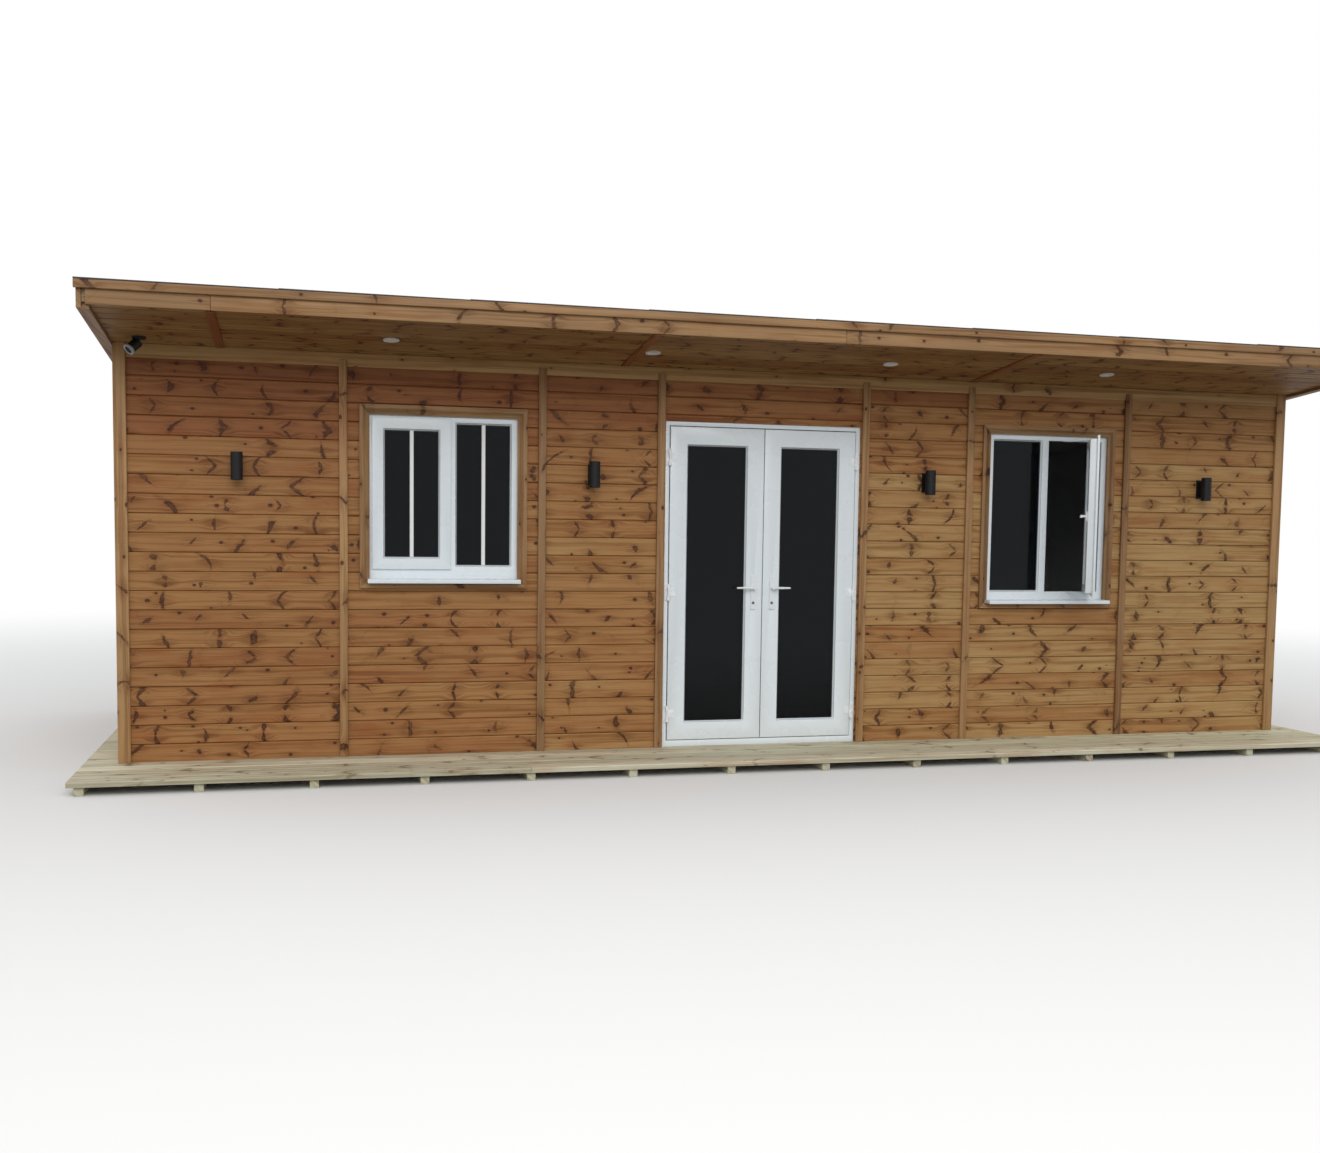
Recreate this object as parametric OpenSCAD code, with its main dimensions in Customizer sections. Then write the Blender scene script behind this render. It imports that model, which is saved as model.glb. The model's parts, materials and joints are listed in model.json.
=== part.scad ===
// Garden office pod: a timber room on a decked base, with a pent roof that
// rises to the front, white French doors and two white casement windows.
// Millimetres. +X runs along the front to the right, +Y runs to the back,
// +Z is up. The origin is on the ground under the middle of the roof.

/* [Room] */
// Width of the room over the side cladding
body_w = 7840; // [6600:10:9600]
// Depth of the room over the front and back cladding
body_d = 3000; // [2400:10:4200]
// Height from the higher window head to the soffit at the front wall
head_to_soffit = 343; // [300:1:700]
// Thickness of the wall frame with its insulation
frame_t = 70; // [60:1:120]
// Thickness of the cladding boards
clad_t = 18; // [12:1:25]
// Thickness of the inside wall lining
lining_t = 12; // [9:1:18]
// Thickness of the floor inside
floor_t = 38; // [18:1:44]

/* [Decked base] */
// How far the decking stands out past each side of the room
deck_side = 210; // [100:10:400]
// How far the decking stands in front of the room
deck_front = 606; // [400:1:900]
// How far the decking stands behind the room
deck_back = 60; // [0:1:90]
// Thickness of the decking boards
deck_t = 28; // [20:1:38]
// Height of the joists under the decking
joist_h = 50; // [40:1:150]
// Width of a joist
joist_w = 50; // [38:1:75]
// Distance between joist centres
joist_pitch = 615; // [500:5:700]
// Sideways place of the joist that is nearest the middle
joist_shift = 237; // [200:1:270]

/* [Roof] */
// Fall of the roof to the back in degrees
roof_pitch = 5.5; // [4:0.1:7]
// Overhang at the front, from the cladding to the front trim's face
over_front = 870; // [600:5:1000]
// Overhang at the back, from the cladding to the back fascia's face
over_back = 120; // [100:5:300]
// Overhang at each side, from the cladding to the roof covering's edge
over_side = 90; // [85:1:130]
// How far the bargeboards stand back under the roof covering
barge_inset = 10; // [0:1:20]
// Thickness of the bargeboards
barge_t = 24; // [18:1:30]
// Thickness of the strip under the soffit beside each bargeboard
barge_strip_t = 20; // [12:1:25]
// Gap between each end of the front fascia and the bargeboard
fascia_gap = 19; // [2:1:30]
// Thickness of the soffit boards
soffit_t = 15; // [9:1:18]
// Thickness of the roof panel
panel_t = 106; // [70:1:160]
// Thickness of the roof covering
cover_t = 6; // [3:1:10]
// Thickness of the fascia boards and the front trim
fascia_t = 20; // [15:1:28]
// Height of the front trim under the roof covering
trim_h = 44; // [30:1:60]

/* [Timber trim] */
// Width of a cover strip
strip_w = 48; // [38:1:60]
// Thickness of a cover strip, a corner trim and a window surround
strip_t = 20; // [15:1:28]
// Width of each face of a corner trim
corner_w = 70; // [50:1:95]
// Height of the eaves band under the soffit
band_h = 81; // [60:1:110]
// Thickness of the eaves band
band_t = 12; // [8:1:14]
// How far a cover strip laps over the eaves band
band_lap = 40; // [20:1:50]
// Gap between the door frame and the cover strips beside it
strip_reveal = 8; // [4:1:20]
// Width of the narrow bay between the door and each window
narrow_bay = 762; // [500:1:900]
// Width of the window bay
window_bay = 1201; // [1120:1:1300]

/* [French doors] */
// Width of the door frame
door_w = 1330; // [1200:1:1400]
// Height of the door frame
door_h = 2090; // [1950:1:2120]
// Depth of the window frames
frame_d = 70; // [60:1:80]
// Width of the door frame's face
door_face = 28; // [24:1:40]
// Height of the threshold
threshold_h = 40; // [25:1:50]
// Width of the leaf's stiles and rails up to the glass
leaf_face = 120; // [90:1:140]
// Gap round a door leaf
leaf_gap = 6; // [6:1:8]
// Height of the lower hinges' middle above the decking
low_hinge_h = 215; // [180:1:300]
// Height of the middle hinges' middle above the decking
mid_hinge_h = 1000; // [850:1:1100]
// Height of the upper hinges' middle below the top of the door frame
top_hinge_drop = 230; // [180:1:300]
// Height of the lever spindle above the decking
lever_h = 1030; // [950:5:1100]
// Length of the lever from its spindle
lever_l = 120; // [90:1:140]

/* [Windows] */
// Width of a window frame
window_w = 916; // [800:1:960]
// Height of the left window's head above the decking, inside the surround
left_head = 2068; // [1900:1:2100]
// Height of the right window's head above the decking, inside the surround
right_head = 2080; // [1900:1:2100]
// Height of the left window's sill above the decking
left_sill = 1082; // [800:1:1300]
// Height of the right window's sill above the decking
right_sill = 954; // [800:1:1300]
// Height of the left window frame's foot above its sill
left_foot = 74; // [40:1:90]
// Height of the right window frame's foot above its sill
right_foot = 54; // [40:1:90]
// How far the left window's mullion stands from the window's middle, towards the door
left_mullion_shift = 45; // [0:1:60]
// How far the right window's mullion stands from the window's middle, towards the door
right_mullion_shift = 18; // [0:1:60]
// Width of the window frame's face
window_face = 44; // [40:1:60]
// Width of a mullion's face
mullion_w = 46; // [44:1:70]
// Width of a sash's face up to the glass
sash_face = 76; // [65:1:90]
// Width of the beads round each pane
bead_w = 10; // [6:1:14]
// Width of a surround board
surround_w = 58; // [52:1:75]
// Lap of the surround over the window frame
surround_lap = 10; // [5:1:15]
// How far the window sills stand out past the surround
sill_out = 65; // [30:1:90]
// How far the right window's sash stands open in degrees
sash_open = 61; // [45:1:66]
// How far the open sash has slid along its stays towards the mullion
sash_slide = 75; // [70:1:90]

/* [Lights and camera] */
// Distance from the inner wall lights to the window bay
light_to_window = 319; // [150:1:400]
// Height of the wall lights' middle above the decking
light_h = 1736; // [1500:1:1900]
// Diameter of a wall light
light_d = 68; // [50:1:90]
// Length of a wall light
light_l = 162; // [140:1:220]
// Diameter of a soffit light
downlight_d = 92; // [60:1:110]

/* [Hidden] */

$fn = 48;

// Colours of the finishes
oak_stain = [0.62, 0.38, 0.20];
pale_timber = [0.74, 0.70, 0.55];
white_plastic = [0.93, 0.93, 0.92];
dark_felt = [0.25, 0.26, 0.28];
clear_glass = [0.65, 0.75, 0.80, 0.35];
black_metal = [0.05, 0.05, 0.05];
steel_grey = [0.6, 0.6, 0.62];
room_white = [0.88, 0.88, 0.86];
floor_board = [0.55, 0.45, 0.33];

// Levels and planes of the room
deck_z = joist_h + deck_t;
soffit_z = deck_z + max(left_head, right_head) + head_to_soffit;
half_w = body_w / 2;
roof_d = over_front + body_d + over_back;
roof_front = -roof_d / 2;
roof_back = roof_d / 2;
face_y = roof_front + over_front;
back_y = face_y + body_d;
core_y = face_y + clad_t;
inner_y = core_y + frame_t;
room_y = inner_y + lining_t;
back_core_y = back_y - clad_t;
back_inner_y = back_core_y - frame_t;
back_room_y = back_inner_y - lining_t;
core_x = half_w - clad_t;
inner_x = core_x - frame_t;
room_x = inner_x - lining_t;
floor_z = deck_z + floor_t;

// Roof layers, as heights above the plane of the soffit's underside
seat_gap = 0.2;
soffit_top = soffit_t;
panel_up = soffit_top + seat_gap;
panel_top = panel_up + panel_t;
cover_up = panel_top + seat_gap;
top_up = cover_up + cover_t;
side_x = half_w + over_side;
barge_x = side_x - barge_inset;
panel_x = barge_x - barge_t;
fascia_y = roof_front + fascia_t;
panel_front = fascia_y + fascia_t;
panel_back = roof_back - fascia_t;

// Height of a roof plane at a place along the depth
function roof_z(y, up) = soffit_z + (face_y - y) * tan(roof_pitch) + up;

// Box between two corners
module box(x0, x1, y0, y1, z0, z1) {
    translate([x0, y0, z0]) cube([x1 - x0, y1 - y0, z1 - z0]);
}

// Outline in Y and Z carried along X
module along_x(x0, x1) {
    translate([x0, 0, 0]) rotate([90, 0, 90]) linear_extrude(x1 - x0) children();
}

// Sheet that follows the roof between two heights above the soffit plane
module roof_sheet(x0, x1, y0, y1, low, high) {
    along_x(x0, x1) polygon([
        [y0, roof_z(y0, low)], [y1, roof_z(y1, low)],
        [y1, roof_z(y1, high)], [y0, roof_z(y0, high)]]);
}

// Upright slab with a level foot and a top that follows the roof
module upright(x0, x1, y0, y1, z0, up) {
    along_x(x0, x1) polygon([
        [y0, z0], [y1, z0], [y1, roof_z(y1, up)], [y0, roof_z(y0, up)]]);
}

// Hole that opens to the front: narrowed by a taper on each side from y0 to y1, then straight to y2
module tapered_hole(x0, x1, z0, z1, y0, y1, y2, taper) {
    intersection() {
        translate([0, 0, z0 - 1]) linear_extrude(z1 - z0 + 2) polygon([
            [x0, y0 - y1 + y0], [x1, y0 - y1 + y0], [x1, y0], [x1 - taper, y1], [x1 - taper, y2],
            [x0 + taper, y2], [x0 + taper, y1], [x0, y0]]);
        along_x(x0 - 1, x1 + 1) polygon([
            [y0 - y1 + y0, z0], [y0, z0], [y1, z0 + taper], [y2, z0 + taper],
            [y2, z1 - taper], [y1, z1 - taper], [y0, z1], [y0 - y1 + y0, z1]]);
    }
}

// The same shape on the left and on the right
module both_sides() {
    children();
    mirror([1, 0, 0]) children();
}

// Base

deck_x = half_w + deck_side;
joist_count_left = floor((deck_x - joist_w + joist_shift) / joist_pitch);
joist_count_right = floor((deck_x - 2 * joist_w - joist_shift) / joist_pitch);
deck_y0 = face_y - deck_front;
deck_y1 = back_y + deck_back;
joist_inset = 20;

module base_joists() {
    color(pale_timber) {
        for (k = [-joist_count_left:joist_count_right]) {
            x = joist_shift + k * joist_pitch;
            box(x - joist_w / 2, x + joist_w / 2, deck_y0 + joist_inset, deck_y1 - joist_inset, 0, joist_h);
        }
        box(deck_x - joist_w, deck_x, deck_y0 + joist_inset, deck_y1 - joist_inset, 0, joist_h);
    }
}

module decking() {
    color(pale_timber) box(-deck_x, deck_x, deck_y0, deck_y1, joist_h, deck_z);
}

module floor_panel() {
    color(floor_board) box(-inner_x, inner_x, inner_y, back_inner_y, deck_z, floor_z);
}

// Walls

door_x = door_w / 2;
door_top = deck_z + door_h;
strip_door = door_x + strip_reveal + strip_w / 2;
strip_inner = strip_door + narrow_bay;
strip_outer = strip_inner + window_bay;
window_x = (strip_inner + strip_outer) / 2;
window_open_x = window_w / 2;

// Each window as the top of its sill, the foot of its lights, the top of its frame and its mullion's place
left_sill_z = deck_z + left_sill;
right_sill_z = deck_z + right_sill;
left_window = [left_sill_z, left_sill_z + left_foot, deck_z + left_head + surround_lap,
    window_x - left_mullion_shift];
right_window = [right_sill_z, right_sill_z + right_foot, deck_z + right_head + surround_lap,
    window_x - right_mullion_shift];
function sill_z(w) = w[0];
function light_z0(w) = w[1];
function frame_z1(w) = w[2];
function light_z1(w) = w[2] - window_face;
function fixed_x1(w) = w[3] - mullion_w / 2;
function casement_x0(w) = w[3] + mullion_w / 2;

// Hole for a window, through whatever lies between two planes
module window_hole(side, w, y0, y1) {
    cx = side * window_x;
    box(cx - window_open_x, cx + window_open_x, y0, y1, sill_z(w) - surround_lap, frame_z1(w));
}

module front_wall_left() {
    color(oak_stain) difference() {
        upright(-core_x, -door_x, core_y, inner_y, deck_z, soffit_top);
        window_hole(-1, left_window, core_y - 1, inner_y + 1);
    }
}

module front_wall_over_door() {
    color(oak_stain) upright(-door_x, door_x, core_y, inner_y, door_top, soffit_top);
}

module front_wall_right() {
    color(oak_stain) difference() {
        upright(door_x, core_x, core_y, inner_y, deck_z, soffit_top);
        window_hole(1, right_window, core_y - 1, inner_y + 1);
    }
}

module side_wall() {
    upright(inner_x, core_x, inner_y, back_inner_y, deck_z, soffit_top);
}

module right_wall() {
    color(oak_stain) side_wall();
}

module left_wall() {
    color(oak_stain) mirror([1, 0, 0]) side_wall();
}

module back_wall() {
    color(oak_stain) upright(-core_x, core_x, back_inner_y, back_core_y, deck_z, soffit_top);
}

// Cladding: one sheet a bay, parted under the cover strips

bay_gap = 6;

module clad_bay(x0, x1) {
    upright(x0 + bay_gap / 2, x1 - bay_gap / 2, face_y, core_y, deck_z, soffit_top);
}

module front_cladding() {
    color(oak_stain) {
        both_sides() {
            clad_bay(strip_outer, core_x + bay_gap / 2);
            clad_bay(strip_door, strip_inner);
        }
        difference() {
            clad_bay(strip_inner, strip_outer);
            window_hole(1, right_window, face_y - 1, core_y + 1);
        }
        difference() {
            clad_bay(-strip_outer, -strip_inner);
            window_hole(-1, left_window, face_y - 1, core_y + 1);
        }
        difference() {
            clad_bay(-strip_door, strip_door);
            box(-door_x, door_x, face_y - 1, core_y + 1, 0, door_top);
        }
    }
}

module side_cladding() {
    upright(core_x, half_w, face_y, back_y, deck_z, soffit_top);
}

module right_cladding() {
    color(oak_stain) side_cladding();
}

module left_cladding() {
    color(oak_stain) mirror([1, 0, 0]) side_cladding();
}

module back_cladding() {
    color(oak_stain) upright(-core_x, core_x, back_core_y, back_y, deck_z, soffit_top);
}

lining_gap = 1;

module wall_lining() {
    color(room_white) {
        difference() {
            upright(-inner_x, inner_x, inner_y, room_y, floor_z, soffit_top);
            box(-door_x, door_x, inner_y - 1, room_y + 1, 0, door_top);
            window_hole(1, right_window, inner_y - 1, room_y + 1);
            window_hole(-1, left_window, inner_y - 1, room_y + 1);
        }
        upright(-inner_x, inner_x, back_room_y, back_inner_y, floor_z, soffit_top);
        both_sides() {
            upright(room_x, inner_x, room_y + lining_gap, back_room_y - lining_gap, floor_z, soffit_top);
        }
    }
}

module ceiling_lining() {
    color(room_white) roof_sheet(-room_x + lining_gap, room_x - lining_gap,
        room_y + lining_gap, back_room_y - lining_gap, soffit_top - lining_t, soffit_top);
}

// Roof

module roof_panel() {
    color(pale_timber) roof_sheet(-panel_x, panel_x, panel_front, panel_back, panel_up, panel_top);
}

module roof_covering() {
    color(dark_felt) roof_sheet(-side_x, side_x, roof_front, roof_back, cover_up, top_up);
}

module soffit_boards() {
    color(oak_stain) roof_sheet(-panel_x, panel_x, panel_front, face_y, 0, soffit_top);
}

// Soffit joints, counted from the left end
soffit_first_l = 623;
soffit_board_l = 2410;
soffit_strip_w = 45;
soffit_strip_t = 8;
soffit_last_l = 600;
soffit_joints = floor((2 * panel_x - soffit_first_l - soffit_last_l) / soffit_board_l);

module soffit_cover_strips() {
    color(oak_stain) for (k = [0:soffit_joints]) {
        x = -panel_x + soffit_first_l + k * soffit_board_l;
        roof_sheet(x - soffit_strip_w / 2, x + soffit_strip_w / 2,
            panel_front, face_y - band_t, -soffit_strip_t, -seat_gap);
    }
}

module front_fascia() {
    fascia_x = panel_x - fascia_gap;
    color(oak_stain) box(-fascia_x, fascia_x, fascia_y, panel_front,
        roof_z(panel_front, 0), roof_z(panel_front, panel_top));
}

module front_roof_trim() {
    top = roof_z(fascia_y, panel_top);
    color(oak_stain) box(-side_x, side_x, roof_front, fascia_y, top - trim_h, top);
}

// Bargeboard with a strip on its inner face that closes the overhang beside the wall's trim
module bargeboard() {
    low = -seat_gap - barge_strip_t;
    roof_sheet(panel_x, barge_x, fascia_y, roof_back, low, panel_top);
    roof_sheet(half_w + strip_t, panel_x + 1, panel_front, panel_back, low, -seat_gap);
}

module bargeboards() {
    color(oak_stain) both_sides() bargeboard();
}

// How far the back fascia hangs below the soffit's plane
fascia_drop = 10;

module back_fascia() {
    color(oak_stain) box(-panel_x, panel_x, panel_back, roof_back,
        roof_z(roof_back, -fascia_drop), roof_z(roof_back, panel_top));
}

// Timber trim

back_band_z = roof_z(back_y + band_t, 0) - band_h;

module eaves_bands() {
    trim_inner = half_w + strip_t - corner_w;
    color(oak_stain) {
        box(-trim_inner, trim_inner, face_y - band_t, face_y, soffit_z - band_h, soffit_z);
        box(-trim_inner, trim_inner, back_y, back_y + band_t,
            back_band_z, roof_z(back_y + band_t, soffit_top));
        both_sides() roof_sheet(half_w, half_w + band_t, face_y - strip_t + corner_w,
            back_y + strip_t - corner_w, -band_h, soffit_top);
    }
}

// Angle of two boards round a corner on the right: the front or back board and the side board
module corner_trim(y, out, up) {
    outer_x = half_w + strip_t;
    outer_y = y + out * strip_t;
    side_y = outer_y - out * corner_w;
    upright(outer_x - corner_w, outer_x, min(y, outer_y), max(y, outer_y), deck_z, up);
    upright(half_w, outer_x, min(y, side_y), max(y, side_y), deck_z, soffit_top);
}

module corner_trims() {
    color(oak_stain) both_sides() {
        corner_trim(face_y, -1, -seat_gap);
        corner_trim(back_y, 1, soffit_top);
    }
}

// Cover strip on the front or back, with its head let over the eaves band
module cover_strip(x, y, out, top_z) {
    difference() {
        box(x - strip_w / 2, x + strip_w / 2, min(y, y + out * strip_t), max(y, y + out * strip_t),
            deck_z, top_z + band_lap);
        box(x - strip_w, x + strip_w, min(y - out, y + out * band_t), max(y - out, y + out * band_t),
            top_z, top_z + 2 * band_lap);
    }
}

side_strip_count = 2;

module cover_strips() {
    band_z = soffit_z - band_h;
    color(oak_stain) {
        both_sides() for (x = [strip_door, strip_inner, strip_outer]) {
            cover_strip(x, face_y, -1, band_z);
            cover_strip(x, back_y, 1, back_band_z);
        }
        both_sides() for (k = [1:side_strip_count]) {
            y = face_y + k * body_d / (side_strip_count + 1);
            upright(half_w, half_w + strip_t, y - strip_w / 2, y + strip_w / 2, deck_z, -band_h - seat_gap);
        }
    }
}

// Lights and camera

downlight_count = 4;
downlight_pitch = 1545;
downlight_shift = -83;
downlight_y = face_y - 390;
downlight_t = 6;
bezel_w = 14;
bezel_depth = 4;

module downlights() {
    color(white_plastic) for (k = [0:downlight_count - 1]) {
        x = downlight_shift + (k - (downlight_count - 1) / 2) * downlight_pitch;
        translate([x, downlight_y, roof_z(downlight_y, 0)]) rotate([-roof_pitch, 0, 0])
            translate([0, 0, -downlight_t - seat_gap]) difference() {
                cylinder(d = downlight_d, h = downlight_t);
                translate([0, 0, -1]) cylinder(d = downlight_d - 2 * bezel_w, h = 1 + bezel_depth);
            }
    }
}

light_outer = (strip_outer + half_w + strip_t - corner_w) / 2;
light_inner = strip_inner - light_to_window;
light_stand = 75;
light_arm = 26;
light_arm_h = 108;
light_plate_w = 56;
light_plate_h = 130;
light_plate_t = 10;
light_wall = 3;
light_recess = 14;

module wall_light(x) {
    z = deck_z + light_h;
    translate([x, face_y, z]) {
        box(-light_plate_w / 2, light_plate_w / 2, -light_plate_t, 0,
            -light_plate_h / 2, light_plate_h / 2);
        box(-light_arm / 2, light_arm / 2, -light_stand, -light_plate_t + 1,
            -light_arm_h / 2, light_arm_h / 2);
        translate([0, -light_stand, -light_l / 2]) difference() {
            cylinder(d = light_d, h = light_l);
            for (z = [-light_recess, light_l - light_recess]) translate([0, 0, z])
                cylinder(d = light_d - 2 * light_wall, h = 2 * light_recess);
        }
    }
}

module wall_lights() {
    color(black_metal) both_sides() {
        wall_light(light_outer);
        wall_light(light_inner);
    }
}

// Bullet camera under the soffit, turned to the left and down
camera_x = -half_w + 120;
camera_y = face_y - 165;
camera_drop = 43;
camera_pan = -52;
camera_tilt = 41;
camera_d = 58;
camera_back_l = 24;
camera_front_l = 42;
hood_d = 66;
hood_l = 12;
lens_d = 44;
lens_depth = 5;
camera_base_d = 76;
camera_base_t = 10;
camera_base_shift = 22;
camera_neck_d = 26;

// Disc against the soffit, with a neck down to the body
module camera_base() {
    translate([0, 0, -camera_base_t]) cylinder(d = camera_base_d, h = camera_base_t);
    translate([-camera_base_shift / 2, 0, -camera_drop]) cylinder(d = camera_neck_d, h = camera_drop - 1);
}

// Body along +Z, with a wider hood and a lens set back in it
module camera_body() {
    hood_z = camera_front_l - 1;
    difference() {
        union() {
            translate([0, 0, -camera_back_l]) cylinder(d = camera_d, h = camera_back_l + camera_front_l);
            translate([0, 0, hood_z]) cylinder(d = hood_d, h = hood_l);
        }
        translate([0, 0, hood_z + hood_l - lens_depth]) cylinder(d = lens_d, h = lens_depth + 1);
    }
}

module security_camera() {
    color(black_metal) {
        translate([camera_x + camera_base_shift, camera_y, roof_z(camera_y, -seat_gap)])
            rotate([-roof_pitch, 0, 0]) camera_base();
        translate([camera_x, camera_y, roof_z(camera_y, -camera_drop)])
            rotate([0, 0, camera_pan]) rotate([90 + camera_tilt, 0, 0]) camera_body();
    }
}

// French doors

door_face_y = face_y + 8;
leaf_y = door_face_y - 4;
flange_t = 18;
leaf_t = 60;
flange_lap = 12;
stop_w = 15;
leaf_out_x = door_x - door_face - leaf_gap;
leaf_in_x = leaf_gap / 2;
leaf_z0 = deck_z + threshold_h + leaf_gap;
leaf_z1 = door_top - door_face - leaf_gap;
glass_t = 24;
glass_y = leaf_y + 20;
glass_bite = 12;
bead_set = 5;

module door_frame() {
    stop_y = leaf_y + leaf_t + leaf_gap;
    color(white_plastic) difference() {
        box(-door_x, door_x, door_face_y, inner_y, deck_z, door_top);
        box(-door_x + door_face, door_x - door_face, door_face_y - 1, stop_y,
            deck_z + threshold_h, door_top - door_face);
        box(-door_x + door_face + stop_w, door_x - door_face - stop_w, door_face_y - 1, inner_y + 1,
            deck_z + threshold_h, door_top - door_face - stop_w);
    }
}

// Right-hand leaf: an outer flange with a narrower body behind it
module leaf_solid() {
    difference() {
        union() {
            box(leaf_in_x, leaf_out_x, leaf_y, leaf_y + flange_t, leaf_z0, leaf_z1);
            box(leaf_in_x + flange_lap, leaf_out_x - flange_lap, leaf_y + flange_t - 1, leaf_y + leaf_t,
                leaf_z0 + flange_lap, leaf_z1 - flange_lap);
        }
        tapered_hole(leaf_in_x + leaf_face - bead_w, leaf_out_x - leaf_face + bead_w,
            leaf_z0 + leaf_face - bead_w, leaf_z1 - leaf_face + bead_w,
            leaf_y + bead_set, glass_y, leaf_y + leaf_t + 1, bead_w);
        glass_pane();
        translate([spindle_x, leaf_y, spindle_z]) rotate([-90, 0, 0])
            translate([0, 0, -1]) cylinder(r = spindle_hole_r, h = leaf_t + 2);
    }
}

module glass_pane() {
    box(leaf_in_x + leaf_face - glass_bite, leaf_out_x - leaf_face + glass_bite, glass_y, glass_y + glass_t,
        leaf_z0 + leaf_face - glass_bite, leaf_z1 - leaf_face + glass_bite);
}

module right_door_leaf() {
    color(white_plastic) leaf_solid();
}

module left_door_leaf() {
    color(white_plastic) mirror([1, 0, 0]) leaf_solid();
}

module right_door_glass() {
    color(clear_glass) glass_pane();
}

module left_door_glass() {
    color(clear_glass) mirror([1, 0, 0]) glass_pane();
}

// Hinges: the pin and two knuckles on the frame, one knuckle on the leaf
hinge_r = 8;
pin_r = 4;
pin_fit = 0.05;
hinge_l = 104;
leaf_knuckle_l = 50;
hinge_zs = [deck_z + low_hinge_h, deck_z + mid_hinge_h, door_top - top_hinge_drop];
knuckle_gap = 0.5;
hinge_x = door_x - door_face - leaf_gap / 2;
hinge_y = leaf_y - hinge_r - 1;
hinge_plate_t = 3;
frame_plate_w = 22;
leaf_plate_w = 36;

module frame_hinge(z) {
    end_l = (hinge_l - leaf_knuckle_l) / 2 - knuckle_gap;
    translate([hinge_x, hinge_y, z]) {
        translate([0, 0, -hinge_l / 2]) cylinder(r = pin_r, h = hinge_l);
        for (end_z = [-hinge_l / 2, hinge_l / 2 - end_l]) translate([0, 0, end_z]) {
            cylinder(r = hinge_r, h = end_l);
            box(0, frame_plate_w / 2, -hinge_r + 1, door_face_y - hinge_y, 0, end_l);
        }
        box(leaf_gap / 2, leaf_gap / 2 + frame_plate_w, door_face_y - hinge_y - hinge_plate_t,
            door_face_y - hinge_y, -hinge_l / 2, hinge_l / 2);
    }
}

module leaf_hinge(z) {
    translate([hinge_x, hinge_y, z]) difference() {
        union() {
            translate([0, 0, -leaf_knuckle_l / 2]) cylinder(r = hinge_r, h = leaf_knuckle_l);
            box(-hinge_r - leaf_plate_w, -leaf_gap / 2, leaf_y - hinge_y - hinge_plate_t, leaf_y - hinge_y,
                -leaf_knuckle_l / 2, leaf_knuckle_l / 2);
            box(-hinge_r - 2, 0, 0, leaf_y - hinge_y, -leaf_knuckle_l / 2, leaf_knuckle_l / 2);
        }
        translate([0, 0, -leaf_knuckle_l]) cylinder(r = pin_r + pin_fit, h = 2 * leaf_knuckle_l);
    }
}

module door_frame_hinges() {
    color(white_plastic) both_sides() for (z = hinge_zs) frame_hinge(z);
}

module right_door_hinges() {
    color(white_plastic) for (z = hinge_zs) leaf_hinge(z);
}

module left_door_hinges() {
    color(white_plastic) mirror([1, 0, 0]) for (z = hinge_zs) leaf_hinge(z);
}

// Handles: a plate on each face, and two levers on one spindle
plate_w = 30;
plate_h = 215;
plate_t = 9;
plate_below = 140;
neck_r = 9;
neck_gap = 0.3;
spindle_r = 4;
spindle_hole_r = 7;
spindle_x = leaf_in_x + 61;
spindle_z = deck_z + lever_h;
lever_stand = 42;
lever_d = 16;
lever_tip_d = 11;
lever_tip_l = 3;
lock_drop = 98;
lock_r = 8.5;
lock_out = 3;
key_slot_w = 1.6;
key_slot_h = 9;

// Backplate on one face, with a hole for the lever's neck and the end of the lock barrel below it
module handle_plate(y, out) {
    plate_z = spindle_z - plate_below;
    lock_y = y + out * (plate_t + lock_out);
    lock_z = spindle_z - lock_drop;
    difference() {
        union() {
            box(spindle_x - plate_w / 2, spindle_x + plate_w / 2, min(y, y + out * plate_t),
                max(y, y + out * plate_t), plate_z, plate_z + plate_h);
            translate([spindle_x, y, lock_z]) rotate([-90 * out, 0, 0])
                cylinder(r = lock_r, h = plate_t + lock_out);
        }
        translate([spindle_x, y - 2 * plate_t, spindle_z]) rotate([-90, 0, 0])
            cylinder(r = neck_r + pin_fit, h = 4 * plate_t);
        box(spindle_x - key_slot_w / 2, spindle_x + key_slot_w / 2, lock_y - lock_out, lock_y + lock_out,
            lock_z - key_slot_h / 2, lock_z + key_slot_h / 2);
    }
}

module handle_plates() {
    handle_plate(leaf_y, -1);
    handle_plate(leaf_y + leaf_t, 1);
}

// Lever on one face: the neck leaves the plate and the grip turns towards the hinges
module lever(y, out) {
    translate([spindle_x, y, spindle_z]) {
        rotate([-90 * out, 0, 0]) translate([0, 0, neck_gap])
            cylinder(r = neck_r, h = lever_stand - neck_gap);
        translate([0, out * (lever_stand - lever_d / 2), 0]) rotate([0, 90, 0]) rotate_extrude() polygon([
            [0, 0], [lever_d / 2, 0], [lever_d / 2, lever_l / 2],
            [lever_tip_d / 2, lever_l - lever_tip_l], [lever_tip_d / 2 - lever_tip_l / 2, lever_l],
            [0, lever_l]]);
    }
}

module lever_pair() {
    translate([spindle_x, leaf_y - 1, spindle_z]) rotate([-90, 0, 0])
        cylinder(r = spindle_r, h = leaf_t + 2);
    lever(leaf_y, -1);
    lever(leaf_y + leaf_t, 1);
}

module right_door_plates() {
    color(white_plastic) handle_plates();
}

module left_door_plates() {
    color(white_plastic) mirror([1, 0, 0]) handle_plates();
}

module right_door_lever() {
    color(white_plastic) lever_pair();
}

module left_door_lever() {
    color(white_plastic) mirror([1, 0, 0]) lever_pair();
}

// Windows

window_y = face_y + 12;
window_back_y = window_y + frame_d;
sash_t = 60;
sash_flange_t = 16;
sash_lap = 18;
sash_gap = 5;
sash_y = window_y - sash_flange_t;
pane_t = 24;
pane_in = 20;
sash_pane_in = 18;
pane_bite = 10;

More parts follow.
